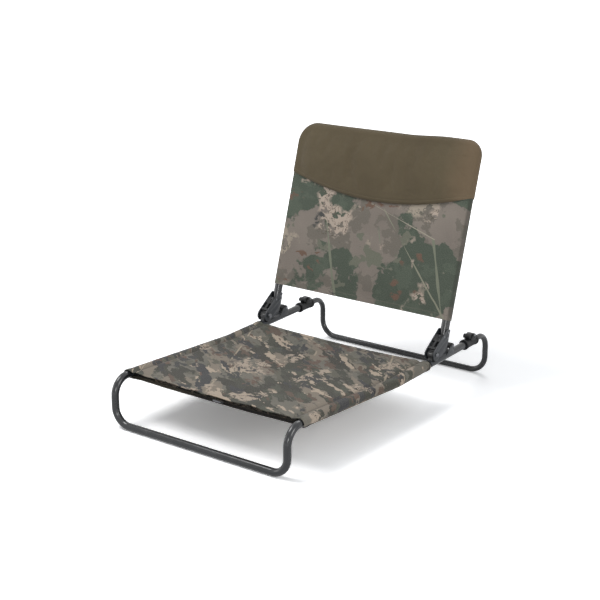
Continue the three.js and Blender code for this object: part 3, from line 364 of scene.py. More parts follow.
def camouflage(name, palette, turn, shift, size, lines, seams_and_shade):
    """A printed camouflage of ragged patches, lace-like leaf litter and reed blades on woven cloth. lines are
    the rows of stitches, and the last argument adds the seams, the binding and the painted shade to the ink."""
    finish = Finish(name, 0.92, 0.0, Sheen_Weight=0.06, Sheen_Roughness=0.6)
    flat = finish.place("UV", turn=turn, shift=shift)
    bend = finish.add("TexNoise", out=1, Vector=flat, Scale=26 / size, Detail=4.0, Roughness=0.65)
    bent = finish.vector_math("MULTIPLY_ADD", bend, i1=(0.022, 0.022, 0.02), i2=flat)

    def print_noise(scale, detail, offset, stretch=(1, 1, 1), angle=0.0, source=bent):
        moved = finish.add("Mapping", Vector=source, Location=offset, Scale=stretch, Rotation=(0, 0, angle))
        return finish.noise(moved, scale / size, detail, palette["ragged"])

    def patches(scale, low, offset, detail=5.0, edge=0.012, **how):
        return finish.step(print_noise(scale, detail, offset, **how), low, low + edge)

    tone = finish.step(finish.noise(flat, 6, 3), 0.35, 0.65)
    ink = finish.mix(tone, linear(*palette["ground"][0]), linear(*palette["ground"][1]))
    ink = finish.mix(patches(14, 0.53, (1.7, 4.1, 0)), ink, linear(*palette["shade"]))
    # The broad dark areas, with darker blots inside
    broad = print_noise(palette["broad"], 7.0, (3.1, 1.7, 0), stretch=palette["stretch"])
    area = finish.step(broad, palette["cover"], palette["cover"] + 0.008)
    blots = finish.mix(patches(16, 0.53, (6.6, 0.4, 0)), linear(*palette["dark"][0]), linear(*palette["dark"][1]))
    ink = finish.mix(area, ink, blots)
    # Long marks that follow the print's grain
    for scale, low, offset, colour in palette["strokes"]:
        ink = finish.mix(patches(scale, low, offset, 3.5, 0.01, stretch=palette["stretch"]), ink, linear(*colour))
    # Blades: narrow straight bands that fade in and out
    for spacing, width, angle, offset, low, colour in palette["blades"]:
        line = finish.add("Mapping", Vector=flat, Location=offset, Rotation=(0, 0, angle))
        wide = finish.times(finish.noise(line, 9 / size, 1.0), width * 2)
        band = finish.math("PINGPONG", finish.split(line)[1], spacing)
        blade = finish.math("LESS_THAN", band, finish.math("SUBTRACT", wide, width * 0.55))
        shown = patches(3.4, low, offset, 1.0, 0.004, stretch=(1, 2, 1), source=line)
        ink = finish.mix(finish.times(blade, shown), ink, linear(*colour))
    # Leaf litter: pale clusters broken up by fine veins
    for low, offset, colour, veins in palette["litter"]:
        region = patches(palette["broad"] * 1.4, low, offset, 5.0, 0.02)
        leaves = patches(palette["leaf"], 0.45, offset, 4.0, 0.02, stretch=(1, 1.5, 1), angle=0.6)
        ink = finish.mix(finish.times(region, leaves), ink, linear(*colour))
        fine = print_noise(palette["leaf"] * 0.9, 3.0, offset)
        contour = finish.math("ABSOLUTE", finish.math("SUBTRACT", fine, 0.5))
        ink = finish.mix(finish.times(region, finish.math("LESS_THAN", contour, 0.011)), ink, linear(*veins))
    # Small marks that gather in places
    for low, offset, colour in palette["marks"]:
        place = patches(7.0, low, offset, 3.0, 0.03)
        mark = patches(30, 0.53, offset, 4.0, 0.012, stretch=(1, 1.7, 1))
        ink = finish.mix(finish.times(place, mark), ink, linear(*colour))
    worn = finish.step(finish.noise(flat, 420, 2), 0.4, 0.7)
    ink = finish.mix(finish.times(worn, 0.1), ink, linear(186, 180, 168))
    rows = stitches(finish, lines)
    finish.colour(finish.mix(rows, seams_and_shade(finish, ink), linear(*palette["thread"])))
    crease = finish.math("ADD", finish.noise(flat, 26, 4, 0.6), finish.times(rows, 0.12))
    weave(finish, flat, 250, 0.3, finish.bump(crease, 0.25, 0.003))
    return finish.material


def seat_seams_and_shade(finish, ink):
    """The binding on the lower layer's front hem, near black as partly painted shade of the mouth under the upper
    layer and paler at its left, painted shade along the channel that is stitched beside each tube, and the seam
    across each side of the sleeve."""
    across, along = finish.cloth()
    on_hem = finish.times(finish.math("GREATER_THAN", along, LOWER_SHEET - 0.1),
                          finish.math("LESS_THAN", along, LOWER_SHEET + 0.014))
    # The binding is partly painted shade: near black where the upper layer shades the mouth, paler at its left.
    binding_and_shade = finish.mix(finish.step(across, -0.1, -0.04), linear(98, 92, 78), linear(36, 32, 28))
    ink = finish.mix(on_hem, ink, binding_and_shade)
    beside = finish.math("ABSOLUTE", across)
    channel = CHANNEL * HALF_REAR * MM
    off_line = finish.math("ABSOLUTE", finish.math("SUBTRACT", beside, channel))
    # Painted shade: a soft dark band in the valley along the channel's stitching beside each tube.
    painted_shade = finish.math("SUBTRACT", 1.0, finish.step(off_line, 0.0005, 0.0055))
    ink = finish.mix(finish.times(painted_shade, 0.45), ink, linear(52, 49, 42))
    joined = finish.times(finish.math("GREATER_THAN", beside, channel),
                          finish.math("COMPARE", along, (CROSS_SEAM - SEAT_CLOTH_FRONT) * MM, 0.0013))
    return finish.mix(finish.times(joined, 0.8), ink, linear(40, 38, 32))


def cover_painted_shade(finish, ink):
    """Painted shade: the cover is darkened where it turns round the tubes."""
    across = finish.cloth()[0]
    front = finish.math("ABSOLUTE", across)
    rear = finish.math("ABSOLUTE", finish.math("SUBTRACT", across, REAR_SHEET))
    turned = (HALF_REAR + 5) * MM
    painted_shade = finish.step(finish.math("MINIMUM", front, rear), turned, turned + 0.005)
    return finish.mix(finish.times(painted_shade, 0.5), ink, linear(48, 48, 42))


def webbing():
    finish = Finish("seat_webbing", 0.8, 0.0, Sheen_Weight=0.1, Sheen_Roughness=0.5)
    flat = finish.place("UV")
    tone = finish.step(finish.noise(flat, 300, 2), 0.35, 0.7)
    finish.colour(finish.mix(tone, linear(104, 104, 108), linear(146, 146, 150)))
    weave(finish, flat, 160, 0.4)
    return finish.material


def brushed_cloth():
    finish = Finish("headrest_cloth", 0.95, 0.0, Sheen_Weight=0.1, Sheen_Roughness=0.45)
    flat = finish.place("UV")
    cloud = finish.noise(flat, 7, 4)
    base = finish.mix(finish.step(cloud, 0.35, 0.7), linear(78, 68, 49), linear(87, 77, 57))
    fleck = finish.step(finish.noise(flat, 620, 2), 0.45, 0.7)
    base = finish.mix(finish.times(fleck, 0.2), base, linear(116, 103, 80))
    # Painted highlight: the cloth is made paler and warmer at the +X end, where it catches the light.
    across = finish.cloth("hem")[0]
    painted_highlight = finish.step(finish.math("ADD", across, finish.times(cloud, 0.05)), 0.225, 0.285)
    base = finish.mix(finish.times(painted_highlight, 0.75), base, linear(108, 91, 70))
    rows = stitches(finish, [CAP_SEAM * MM], "hem")
    finish.colour(finish.mix(rows, base, linear(108, 97, 74)))
    crease = finish.math("ADD", finish.noise(flat, 16, 4, 0.55), finish.times(rows, 0.12))
    weave(finish, flat, 200, 0.28, finish.bump(crease, 0.25, 0.005))
    return finish.material


# A print's colours are 0-255 values. Its strokes are (scale, threshold, offset, colour), its blades (spacing,
# width, angle, offset, threshold, colour), its litter (threshold, offset, leaves, veins) and its marks
# (threshold, offset, colour).
BACK_PRINT = {
    "ground": ((114, 105, 97), (126, 117, 108)), "shade": (102, 96, 87), "dark": ((62, 72, 60), (70, 80, 67)),
    "broad": 2.6, "cover": 0.49, "ragged": 0.56, "stretch": (1, 1.15, 1), "leaf": 46, "thread": (92, 86, 76),
    "strokes": ((11, 0.61, (4.4, 9.1, 0), (98, 100, 86)),),
    "blades": ((0.08, 0.0062, 1.15, (2.2, 6.15, 0), 0.5, (112, 116, 99)),
               (0.12, 0.0030, 0.72, (6.4, 3.3, 0), 0.48, (128, 128, 110)),
               (0.14, 0.0022, 0.2, (4.9, 8.3, 0), 0.52, (150, 144, 128))),
    "litter": ((0.555, (7.3, 2.2, 0), (170, 155, 141), (80, 72, 62)),
               (0.585, (1.3, 8.2, 0), (154, 143, 128), (70, 74, 62))),
    "marks": ((0.585, (5.9, 4.4, 0), (98, 74, 60)), (0.60, (9.1, 7.7, 0), (56, 57, 56))),
}
SEAT_PRINT = {
    "ground": ((92, 90, 80), (106, 101, 91)), "shade": (80, 78, 66), "dark": ((50, 50, 40), (62, 64, 53)),
    "broad": 5.0, "cover": 0.5, "ragged": 0.56, "stretch": (0.5, 1.6, 1), "leaf": 34, "thread": (86, 80, 70),
    "strokes": ((12, 0.555, (4.4, 9.1, 0), (120, 110, 97)), (11, 0.565, (8.8, 2.3, 0), (42, 40, 32)),
                (16, 0.60, (5.5, 6.7, 0), (168, 152, 134)), (14, 0.615, (0.9, 7.9, 0), (82, 66, 54)),
                (10, 0.60, (9.6, 5.1, 0), (40, 40, 43))),
    "blades": ((0.10, 0.0042, 0.5, (2.8, 5.1, 0), 0.52, (150, 138, 120)),),
    "litter": ((0.575, (3.3, 7.2, 0), (162, 147, 131), (60, 54, 46)),),
    "marks": ((0.58, (2.9, 2.4, 0), (88, 68, 56)), (0.57, (6.1, 9.7, 0), (46, 46, 46))),
}

TUBE_PAINT = painted_tube()
BRACKET_PAINT = painted_steel()
HEAD_SHADE_PAINT = painted_steel("toothed_head_painted_shade", shaded_head=True)
FASTENER_STEEL = plated_steel()
BLACK_PLASTIC = moulded_plastic()
SEAT_HEMS = [start + line for start, front in ((0, SEAT_CLOTH_FRONT), (LOWER_SHEET, SEAT_LOWER_FRONT))
             for line in (HEM * MM, (SEAT_CLOTH_REAR - front - HEM) * MM)]
SEAT_CLOTH = camouflage("seat_camouflage", SEAT_PRINT, 0.6, (0.7, 0.2, 0), 0.85, SEAT_HEMS, seat_seams_and_shade)
BACK_CLOTH = camouflage("backrest_camouflage", BACK_PRINT, 0.1, (3.2, 1.4, 0), 1.0, [(COVER_START + HEM) * MM],
                        cover_painted_shade)
HEADREST_CLOTH = brushed_cloth()
WEBBING = webbing()


# ---------------------------------------------------------------- making pieces
TUBE_SIDES, BEND_STEP = 40, math.radians(7.5)


def activate(piece):
    bpy.ops.object.select_all(action="DESELECT")
    piece.select_set(True)
    bpy.context.view_layer.objects.active = piece


def apply_modifier(piece, kind, **settings):
    activate(piece)
    modifier = piece.modifiers.new(kind.lower(), kind)
    for key, value in settings.items():
        setattr(modifier, key, value)
    bpy.ops.object.modifier_apply(modifier=modifier.name)


def smooth(piece, angle=35):
    activate(piece)
    bpy.ops.object.shade_smooth_by_angle(angle=math.radians(angle))


def finished(piece, body, material, replaced=()):
    piece.data.materials.clear()
    piece.data.materials.append(material)
    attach(piece, body)
    if replaced:
        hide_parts(*replaced)


def bent_tube(name, corners, bends, radius):
    """A round tube: a circle extruded along each straight and spun round each bend."""
    corners = [Vector(c) * MM for c in corners]
    bends = [b * MM for b in bends]
    heading = (corners[1] - corners[0]).normalized()
    bpy.ops.object.select_all(action="DESELECT")
    bpy.ops.mesh.primitive_circle_add(vertices=TUBE_SIDES, radius=radius * MM, location=corners[0],
                                      rotation=heading.to_track_quat("Z", "Y").to_euler())
    piece = bpy.context.object
    piece.name = name
    bpy.ops.object.transform_apply(location=True, rotation=True, scale=True)
    bpy.ops.object.mode_set(mode="EDIT")
    bpy.ops.mesh.select_all(action="SELECT")
    at = corners[0]
    for i in range(1, len(corners) - 1):
        into = (corners[i] - corners[i - 1]).normalized()
        out = (corners[i + 1] - corners[i]).normalized()
        turn = into.angle(out)
        bend = bends[i - 1]
        inward = (out - into * out.dot(into)).normalized()
        start = corners[i] - into * bend * math.tan(turn / 2)
        bpy.ops.mesh.extrude_region_move(TRANSFORM_OT_translate={"value": start - at})
        centre = start + inward * bend
        steps = max(4, math.ceil(turn / BEND_STEP))
        bpy.ops.mesh.spin(steps=steps, angle=turn, center=centre, axis=-into.cross(out).normalized())
        at = corners[i] + out * bend * math.tan(turn / 2)
    bpy.ops.mesh.extrude_region_move(TRANSFORM_OT_translate={"value": corners[-1] - at})
    bpy.ops.mesh.select_all(action="SELECT")
    bpy.ops.mesh.remove_doubles(threshold=0.00001)
    bpy.ops.mesh.normals_make_consistent(inside=False)
    bpy.ops.object.mode_set(mode="OBJECT")
    apply_modifier(piece, "SOLIDIFY", thickness=TUBE_WALL * MM, offset=-1.0)
    smooth(piece, 40)
    return piece


def grid_mesh(name, rows, uvs):
    """A sheet from rows of points in metres, with a UV map in metres."""
    mesh = bpy.data.meshes.new(name)
    columns = len(rows[0])
    points = [p for row in rows for p in row]
    faces = []
    for i in range(len(rows) - 1):
        for j in range(columns - 1):
            k = i * columns + j
            faces.append((k, k + 1, k + columns + 1, k + columns))
    mesh.from_pydata([tuple(p) for p in points], [], faces)
    layer = mesh.uv_layers.new(name="cut")
    flat = [uv for row in uvs for uv in row]
    for loop in mesh.loops:
        layer.data[loop.index].uv = flat[loop.vertex_index]
    mesh.update()
    piece = bpy.data.objects.new(name, mesh)
    scene.collection.objects.link(piece)
    return piece


def ripple(x, y, size, seed):
    """Smooth noise from -1 to 1, with the same value on every run."""
    return noise.noise(Vector((x / size + seed * 7.31, y / size - seed * 3.17, seed * 1.7)))


def ease(value):
    value = min(1.0, max(0.0, value))
    return value * value * (3 - 2 * value)


def hump(value, centre, half):
    """1 at the centre, falling smoothly to 0 at half the width away."""
    return 1 - ease(abs(value - centre) / half)


# ---------------------------------------------------------------- frame tubes
def on_line(x, along):
    return LINE @ Vector((x, along, 0))


def on_back(x, d, h):
    return BACK @ Vector((x, d, h))


seat_tube = bent_tube("seat_loop_tube", [
    on_line(-HALF_REAR, SEAT_TUBE_REAR), (-HALF_REAR, DIP_Y, DIP_HEIGHT), (-HALF_FRONT, FRONT_Y, FRONT_HEIGHT),
    (-HALF_FRONT, FRONT_Y, SEAT_TUBE), (HALF_FRONT, FRONT_Y, SEAT_TUBE), (HALF_FRONT, FRONT_Y, FRONT_HEIGHT),
    (HALF_REAR, DIP_Y, DIP_HEIGHT), on_line(HALF_REAR, SEAT_TUBE_REAR),
], [DIP_BEND, FRONT_TOP_BEND, FRONT_FLOOR_BEND, FRONT_FLOOR_BEND, FRONT_TOP_BEND, DIP_BEND], SEAT_TUBE)
finished(seat_tube, "seat", TUBE_PAINT, ["seat_frame"])

leg_tube = bent_tube("rear_loop_tube", [
    on_line(-HALF_REAR, LEG_INNER_END), on_line(-HALF_REAR, REAR_STRAIGHT), (-HALF_REAR, REAR_Y, LEG_TUBE),
    (HALF_REAR, REAR_Y, LEG_TUBE), on_line(HALF_REAR, REAR_STRAIGHT), on_line(HALF_REAR, LEG_INNER_END),
], [REAR_TOP_BEND, REAR_FLOOR_BEND, REAR_FLOOR_BEND, REAR_TOP_BEND], LEG_TUBE)
finished(leg_tube, "rear_leg", TUBE_PAINT, ["rear_leg_frame"])

back_tube = bent_tube("backrest_hoop_tube", [
    on_back(-HALF_REAR, BACK_SETBACK, BACK_TUBE_START), on_back(-HALF_REAR, BACK_SETBACK, BACK_TUBE_TOP),
    on_back(HALF_REAR, BACK_SETBACK, BACK_TUBE_TOP), on_back(HALF_REAR, BACK_SETBACK, BACK_TUBE_START),
], [BACK_CORNER, BACK_CORNER], BACK_TUBE)
finished(back_tube, "backrest", TUBE_PAINT, ["backrest_frame"])


# ---------------------------------------------------------------- brackets, clamps and fasteners
BROKEN_EDGE = 0.35


# These move single points of a solid. x runs from the side tube, and the rest is in the back's frame or the line's.
def slim_neck(x, d, h):
    """The lock bar's neck, 5.5 mm to each side in the solid, is drawn in to 3 mm."""
    return (math.copysign(3.0, x) if 5.3 < abs(x) < 5.7 else x), d, h


def full_plate(x, d, h):
    """The plates' lower rear corner moves out, so that the rear edge runs straight down to the foot."""
    return (x, 44.0, 13.0) if abs(d - 28) < 0.3 and abs(h - 18) < 0.3 else (x, d, h)


def deep_paddle(x, along, above):
    """The lever's finger end reaches down to the collar."""
    return x, along, (14.1 + 0.6 * (above - 16.6) if along < 340 and above < 20 else above)


def dressed_copy(node, material, slot, shape=None, own=None):
    """A merged copy of a solid with its edges broken, in place of it. shape moves its points in the frame own."""
    source = cad_nodes[node]
    mesh = source.data.copy()
    piece = bpy.data.objects.new(node + "_made", mesh)
    scene.collection.objects.link(piece)
    edit = bmesh.new()
    edit.from_mesh(mesh)
    bmesh.ops.remove_doubles(edit, verts=edit.verts, dist=0.00002)
    bmesh.ops.dissolve_limit(edit, angle_limit=math.radians(1), verts=edit.verts, edges=edit.edges)
    if shape:
        across = HALF_REAR if node.startswith("right") else -HALF_REAR
        to_own = own.inverted()
        for vertex in edit.verts:
            x, *rest = to_own @ (vertex.co / MM)
            x, *rest = shape(x - across, *rest)
            vertex.co = (own @ Vector((x + across, *rest))) * MM
    edit.to_mesh(mesh)
    edit.free()
    apply_modifier(piece, "BEVEL", width=BROKEN_EDGE * MM, segments=2, limit_method="ANGLE",
                   angle_limit=math.radians(30), use_clamp_overlap=True)
    smooth(piece)
    finished(piece, source["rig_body"], material, [node])


PAINTED, STEEL = (BRACKET_PAINT, "bracket_paint"), (FASTENER_STEEL, "fastener_steel")
BLACK = (BLACK_PLASTIC, "black_plastic")
HARDWARE = {
    "seat_bracket": (HEAD_SHADE_PAINT, "bracket_paint"), "back_bracket": PAINTED, "inner_bracket_plate": PAINTED,
    "stop_roller": BLACK, "stop_pin": STEEL, "pivot_bolt": STEEL, "pivot_nut": STEEL, "outer_washer": BLACK,
    "inner_washer": BLACK, "clamp_body": BLACK, "clamp_bush": BLACK, "clamp_pad": BLACK, "clamp_pin": STEEL,
    "clamp_lever": BLACK, "leg_glide": BLACK, "bracket_rivet_1": STEEL, "bracket_rivet_2": STEEL,
    "back_tube_plug": BLACK, "lock_pin": STEEL, "lock_bar": BLACK, "lock_spring": STEEL,
}
RESHAPED = {
    "lock_bar": (slim_neck, BACK), "back_bracket": (full_plate, BACK), "inner_bracket_plate": (full_plate, BACK),
    "clamp_lever": (deep_paddle, LINE),
}
for side in ("left", "right"):
    for part, (material, slot) in HARDWARE.items():
        dressed_copy(f"{side}_{part}", material, slot, *RESHAPED.get(part, ()))


# ---------------------------------------------------------------- seat cloth
HEM_ROWS = (0, 1.5, 4, 8, 11.4, 12.1, HEM, 12.9, 13.6, 15, 18)  # from an edge, close together at the stitches
SEAM_ROWS = (-3.6, -1.8, -0.7, 0, 0.7, 1.8, 3.6)
BODY_ROWS, ARC_COLUMNS, FLAT_COLUMNS = 84, 14, 128
TAB_CLOTH, TAB_COLUMNS = 1.1, 6
TAB_PROFILE = [(10.0, 1.7), (4.0, 1.9), (0.0, 2.6), (-3.0, 3.8), (-5.2, 5.8), (-5.8, 7.6), (-4.8, 8.8), (-2.0, 8.2),
               (3.0, 5.6), (10.0, 3.6)]


def half_width(y):
    return HALF_REAR + (HALF_FRONT - HALF_REAR) * max(0.0, (DIP_Y - y) / DIP_FROM_FRONT)


def tube_height(y):
    return DIP_HEIGHT + (y - DIP_Y) * math.tan(FRONT_SLOPE if y < DIP_Y else REAR_SLOPE)


def seat_press(x, y, across, distance, above):
    """How far the cloth between the tubes is pushed up or down at a place, in millimetres."""
    inside = 1 - min(1.0, across * across)
    fade = min(1.0, inside * 3)
    push = 0.9 * ripple(x, y, 110, 1) * fade + 0.4 * ripple(x, y, 34, 2) * fade
    if above:
        near_front = math.exp(-distance / 80)
        push += 1.4 * near_front * fade * (math.cos(across * 13) * 0.5 + ripple(x, y, 46, 3))
        # Slack folds that run back from the front hem, and a shallow valley beside each tube
        push += 2.2 * math.exp(-distance / 55) * (hump(across, -0.16, 0.10) - hump(across, -0.06, 0.09)) * fade
        slant = across + (distance - 60) / 900
        push += 1.1 * (hump(slant, 0.42, 0.08) - 0.8 * hump(slant, 0.55, 0.09)) * math.exp(-distance / 190)
        push -= 4.0 * hump(abs(across), CHANNEL, 0.042)
    return push


def seat_rows(front):
    """How far behind its front edge each row of a layer's points lies."""
    length, cross, first = SEAT_CLOTH_REAR - front, CROSS_SEAM - front, HEM_ROWS[-1]
    even = [first + (length - 2 * first) * i / BODY_ROWS for i in range(1, BODY_ROWS)]
    return sorted([*HEM_ROWS, *(length - s for s in HEM_ROWS), *(cross + s for s in SEAM_ROWS),
                   *(s for s in even if abs(s - cross) > 4.5)])


def seat_layer(name, above, front, middle_front, front_sag, rear_sag, node):
    """One layer of the seat's sleeve, from the seam outboard of one tube to the seam outboard of the other."""
    length, cross = SEAT_CLOTH_REAR - front, CROSS_SEAM - front
    sign = 1 if above else -1
    reach = SEAT_TUBE + CLOTH_GAP + CLOTH
    print_wrap = reach * (math.pi / 2 + SLEEVE_SEAM) * (1 if above else 0.7)
    rows, cuts = [], []
    # A column lies round a tube, on side -1 or 1, or on the flat between them, on side 0.
    columns = [(-1, k / ARC_COLUMNS) for k in range(ARC_COLUMNS)] \
        + [(0, k / FLAT_COLUMNS) for k in range(FLAT_COLUMNS + 1)] \
        + [(1, 1 - k / ARC_COLUMNS) for k in range(1, ARC_COLUMNS + 1)]
    for distance in seat_rows(front):
        y = FRONT_Y + front + distance
        sag = front_sag + (rear_sag - front_sag) * distance / length
        half, height = half_width(y), tube_height(y)
        row, cut = [], []
        hem = HEM_THICK if distance <= HEM or distance >= length - HEM else 0.0
        hem -= 0.45 * (hump(distance, HEM, 1.4) + hump(distance, length - HEM, 1.4))
        for side, share in columns:
            if side:
                angle = (sign * math.pi / 2 + SLEEVE_SEAM) * share - SLEEVE_SEAM
                nx, nz = side * math.cos(angle), math.sin(angle)
                x, z = side * half + reach * nx, height + reach * nz
                across = side
                u = side * (HALF_REAR + print_wrap * (1 - share))
                press = rise = 0.0
            else:
                nx, nz = 0.0, sign
                x, z = -half + 2 * half * share, height + sign * reach
                across = x / half
                u = across * HALF_REAR
                press = seat_press(x, y, across, distance, above)
                # The lower layer is cut narrower, so it is drawn up between the tubes.
                rise = 0.0 if above else 3.0 * ease((1 - abs(across)) / 0.14)
            inside = 1 - min(1.0, across * across)
            drop = sag * (1 - abs(across) ** 3.2) if above else sag * inside
            bulge = (middle_front - front) * inside * (1 - distance / length)
            swell = hem
            if above and abs(across) > 0.9:
                # The sleeve is drawn in at the cross seam, and puckers a little round the tube.
                swell -= 1.1 * hump(distance, cross, 3.0) * (1.0 if side else ease((abs(across) - 0.9) / 0.05))
                swell += 0.35 * ripple(x * 2, y, 30, 12)
            row.append(Vector((x + nx * swell, y + bulge, z + nz * (swell + press) + rise - drop)) * MM)
            cut.append((u * MM, distance * MM + (0 if above else LOWER_SHEET)))
        rows.append(row)
        cuts.append(cut)
    piece = grid_mesh(name, rows, cuts)
    activate(piece)
    bpy.ops.object.mode_set(mode="EDIT")
    bpy.ops.mesh.select_all(action="SELECT")
    bpy.ops.mesh.normals_make_consistent(inside=False)
    bpy.ops.object.mode_set(mode="OBJECT")
    # The upper layer looks up and the lower one down.
    middle = piece.data.polygons[len(piece.data.polygons) // 2]
    if middle.normal.z * sign < 0:
        piece.data.flip_normals()
    apply_modifier(piece, "SOLIDIFY", thickness=CLOTH * MM, offset=-1.0)
    smooth(piece, 60)
    finished(piece, "seat", SEAT_CLOTH, [node])
    return piece


def make_tab():
    """A loop of webbing that stands up out of the front hem of the seat's lower layer."""
    y = FRONT_Y + SEAT_LOWER_FRONT
    z = tube_height(y) - SEAT_TUBE - CLOTH_GAP - CLOTH - HEM_THICK
    rows, cuts = [], []
    length = 0.0
    for i, (back, up) in enumerate(TAB_PROFILE):
        if i:
            length += math.dist((back, up), TAB_PROFILE[i - 1])
        widths = [TAB_WIDTH * j / TAB_COLUMNS for j in range(TAB_COLUMNS + 1)]
        rows.append([Vector((TAB_PLACE - TAB_WIDTH / 2 + width, y + back, z + up)) * MM for width in widths])
        cuts.append([(width * MM, length * MM + TAB_SHEET) for width in widths])
    tab = grid_mesh("seat_front_tab", rows, cuts)
    apply_modifier(tab, "SOLIDIFY", thickness=TAB_CLOTH * MM, offset=0.0)
    apply_modifier(tab, "SUBSURF", levels=1, render_levels=1)
    smooth(tab, 50)
    finished(tab, "seat", WEBBING)


seat_layer("seat_sleeve_upper", True, SEAT_CLOTH_FRONT, SEAT_CLOTH_MIDDLE, 2.0, 8.0, "seat_cover_upper")
seat_lower = seat_layer("seat_sleeve_lower", False, SEAT_LOWER_FRONT, SEAT_LOWER_FRONT, 3.0, 3.0, "seat_cover_lower")
make_tab()


# ---------------------------------------------------------------- backrest cloth
LOW_ROWS = (0, 1.2, 3, 5.5, 8.2, CAP_SEAM, 9.8, 12, HEM, 13.2, 16, 20)  # close together at both hems' stitches
ROUND_STEPS, HOOD_COLUMNS, HOOD_ROWS = 9, 84, 56
SIMULATED_FRAMES = 20


class HoodShape:
    """The outline of a hood over the backrest's hoop, in the back's own frame. corners are the radii of its left
    and right corners, and lift raises its top edge."""

    def __init__(self, reach, corners, lift):
        self.reach, self.corners, self.lift = reach, corners, lift
        self.half = HALF_REAR + reach

    def top(self, x):
        """The outline's height at x."""
        corner = self.corners[x > 0]
        straight = self.half - corner
        level = BACK_TUBE_TOP + self.reach + self.lift(max(-straight, min(straight, x)))
        over = abs(x) - straight
        return level if over <= 0 else level - corner + math.sqrt(max(0.0, corner * corner - over * over))

    def inset(self, x, h):
        """How far a point lies inside the outline."""
        corner = self.corners[x > 0]
        straight = self.half - corner
        over, rise = abs(x) - straight, h - (self.top(math.copysign(straight, x)) - corner)
        if over > 0 and rise > 0:
            return corner - math.hypot(over, rise)
        return min(self.half - abs(x), self.top(x) - h)


def hood(name, outline, bottom, face):
    """A hood over the hoop: front and rear faces that meet round it, open at the bottom. face gives how far a
    face lies from the hoop's plane, from x, h, the inset, and -1 for the front or 1 for the rear."""
    reach, half = outline.reach, outline.half
    near = [reach * (1 - math.cos(math.pi / 2 * i / ROUND_STEPS)) for i in range(ROUND_STEPS)]
    start = near[-1] + 1.5
    across = near + [start + (2 * half - 2 * start) * i / HOOD_COLUMNS for i in range(HOOD_COLUMNS + 1)] \
        + [2 * half - n for n in reversed(near)]
    total, low_end = outline.top(0) - bottom(0), LOW_ROWS[-1]
    upward = [*LOW_ROWS] + [low_end + (total - start - low_end) * i / HOOD_ROWS for i in range(1, HOOD_ROWS + 1)] \
        + [total - n for n in reversed(near)]
    sheets = []
    for sign in (-1, 1):
        rows, cuts = [], []
        for step in upward:
            row, cut = [], []
            for distance in across:
                x = distance - half
                low = bottom(x)
                stretch = (outline.top(x) - low - low_end) / (total - low_end)
                h = low + (step if step <= low_end else low_end + (step - low_end) * stretch)
                inset = max(0.0, outline.inset(x, h))
                if inset < reach:
                    depth = math.sqrt(max(0.0, reach * reach - (reach - inset) ** 2))
                else:
                    depth = face(x, h, inset, sign)
                row.append(on_back(x, BACK_SETBACK + sign * max(0.0, depth), h) * MM)
                # The print runs round the tube: sideways at the sides and upwards at the top.
                wrap = math.asin(min(1.0, max(0.0, 1 - inset / reach))) * reach - max(0.0, reach - inset)
                at_side = half - abs(x) < reach
                u = (x + (math.copysign(wrap, x) if at_side else 0.0)) * MM
                cut.append((-sign * u + (0 if sign < 0 else REAR_SHEET), (h + (0.0 if at_side else wrap)) * MM))
            rows.append(row)
            cuts.append(cut)
        sheets.append(grid_mesh(name + ("_front" if sign < 0 else "_rear"), rows, cuts))
    activate(sheets[0])
    sheets[1].select_set(True)
    bpy.ops.object.join()
    piece = bpy.context.object
    piece.name = name
    bpy.ops.object.mode_set(mode="EDIT")
    bpy.ops.mesh.select_all(action="SELECT")
    bpy.ops.mesh.remove_doubles(threshold=0.00005)
    bpy.ops.mesh.dissolve_degenerate(threshold=0.00002)
    bpy.ops.mesh.normals_make_consistent(inside=False)
    bpy.ops.object.mode_set(mode="OBJECT")
    return piece


def settle_cloth(piece, outline, bottom, pressure, slack, most, gripped=None):
    """Lets the cloth swell over its padding under a little air, by most millimetres at the most. It is held
    round the tube, at its hem and from the height gripped(x) upwards."""
    back = BACK.inverted()
    mesh = piece.data
    start = [v.co.copy() for v in mesh.vertices]
    held = piece.vertex_groups.new(name="held")
    for vertex in mesh.vertices:
        x, _, h = back @ (vertex.co / MM)
        free = min(outline.inset(x, h) - outline.reach, h - bottom(x) - 14)
        if gripped:
            free = min(free, gripped(x) - h)
        held.add([vertex.index], 1 - ease(free / 16), "REPLACE")
    activate(piece)
    cloth = piece.modifiers.new("cloth", "CLOTH")
    cloth.point_cache.frame_start, cloth.point_cache.frame_end = 1, SIMULATED_FRAMES
    cloth.collision_settings.use_collision = False
    settings = cloth.settings
    settings.quality, settings.mass, settings.vertex_group_mass = 6, 0.12, held.name
    settings.tension_stiffness = settings.compression_stiffness = 18
    settings.shear_stiffness, settings.bending_stiffness = 6, 0.6
    settings.shrink_min = -slack
    settings.use_pressure, settings.uniform_pressure_force = True, pressure
    settings.effector_weights.gravity = 0
    for frame_number in range(1, SIMULATED_FRAMES + 1):
        scene.frame_set(frame_number)
    bpy.ops.object.modifier_apply(modifier=cloth.name)
    scene.frame_set(1)
    for vertex, place in zip(piece.data.vertices, start):
        move = vertex.co - place
        if move.length > most * MM:
            vertex.co = place + move * (most * MM / move.length)
    piece.vertex_groups.clear()


def hem_map(piece, bottom):
    """A second UV map that measures up from the hem, for its stitches."""
    back = BACK.inverted()
    layer = piece.data.uv_layers.new(name="hem")
    for loop in piece.data.loops:
        x, _, h = back @ (piece.data.vertices[loop.vertex_index].co / MM)
        layer.data[loop.index].uv = (x * MM, (h - bottom(x)) * MM)


def left_lift(x):
    """Both hoods are a little lower towards -X."""
    return ease((x + 180) / 230) - 1


# The cover: a sleeve with a thin pad, straight at its lower hem
def cover_bottom(_x):
    return COVER_START


def cover_lift(x):
    return 1.1 * left_lift(x)


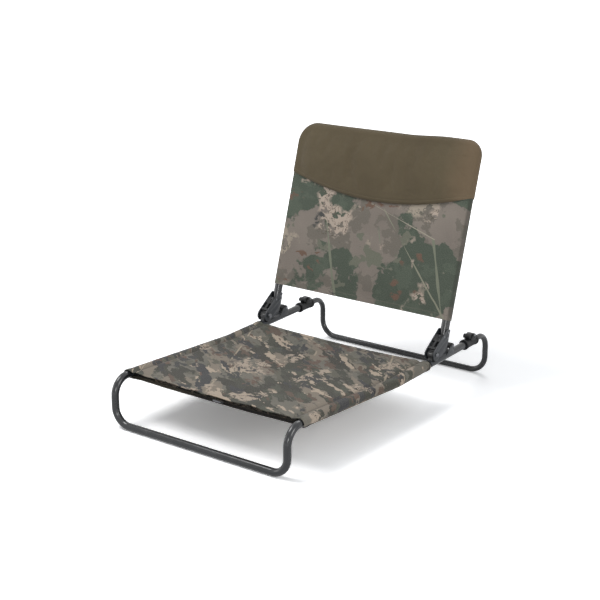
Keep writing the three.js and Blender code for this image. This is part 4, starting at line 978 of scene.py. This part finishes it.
def cover_face(x, h, inset, _sign):
    soft = (ripple(x, h, 150, 5) * 1.1 + ripple(x, h, 48, 6) * 0.3) * min(1.0, max(0.0, (inset - 14) / 60))
    hem = (0.6 if h - COVER_START <= HEM else 0.0) - 0.45 * hump(h - COVER_START, HEM, 1.5)
    return COVER_HALF + (COVER_RADIUS - COVER_HALF) * (1 - ease((inset - COVER_RADIUS) / 40)) + soft + hem


# The headrest: a padded hood over the cover, whose lower edge is an arc
def cap_bottom(x):
    share = x / (HALF_REAR + CAP_REACH)
    return CAP_MIDDLE + (CAP_SIDE - CAP_MIDDLE) * share * share


def cap_lift(x):
    return 1.2 * left_lift(x) + 6.5 * ease((x - 60) / 130)


def cap_face(x, h, inset, sign):
    above = h - cap_bottom(x)
    roll = min(1.0, max(0.0, above) / (30 if sign < 0 else 12))
    puff = (CAP_PADDING + 2 if sign < 0 else CAP_WALL) * math.sqrt(max(0.0, 1 - (1 - roll) ** 2))
    middle = COVER_HALF + CAP_GAP + CAP_WALL / 2 + puff
    soft = (ripple(x, h, 120, 8) * 1.5 + ripple(x, h, 42, 9) * 0.4) * min(1.0, max(0.0, (inset - 14) / 40)) * roll
    seam = -0.6 * hump(above, CAP_SEAM, 1.5)
    return middle + (CAP_REACH - middle) * (1 - ease((inset - CAP_REACH) / 52)) + soft + seam


cover_outline = HoodShape(COVER_RADIUS, (BACK_CORNER + COVER_RADIUS, BACK_CORNER + COVER_RADIUS), cover_lift)
back_cover = hood("backrest_sleeve", cover_outline, cover_bottom, cover_face)
# The headrest's hem holds the cover down.
settle_cloth(back_cover, cover_outline, cover_bottom, 0.8, 0.004, 4, gripped=lambda x: cap_bottom(x) + 4)
apply_modifier(back_cover, "SOLIDIFY", thickness=COVER_CLOTH * MM, offset=-1.0)
smooth(back_cover, 60)
finished(back_cover, "backrest", BACK_CLOTH, ["backrest_cover"])

cap_outline = HoodShape(CAP_REACH, (BACK_CORNER + CAP_REACH, BACK_CORNER - 2), cap_lift)
cap = hood("headrest_hood", cap_outline, cap_bottom, cap_face)
settle_cloth(cap, cap_outline, cap_bottom, 2.0, 0.01, 7)
hem_map(cap, cap_bottom)
apply_modifier(cap, "SOLIDIFY", thickness=CAP_CLOTH * MM, offset=-1.0)
smooth(cap, 60)
finished(cap, "backrest", HEADREST_CLOTH, ["headrest_cap"])

bpy.context.view_layer.update()
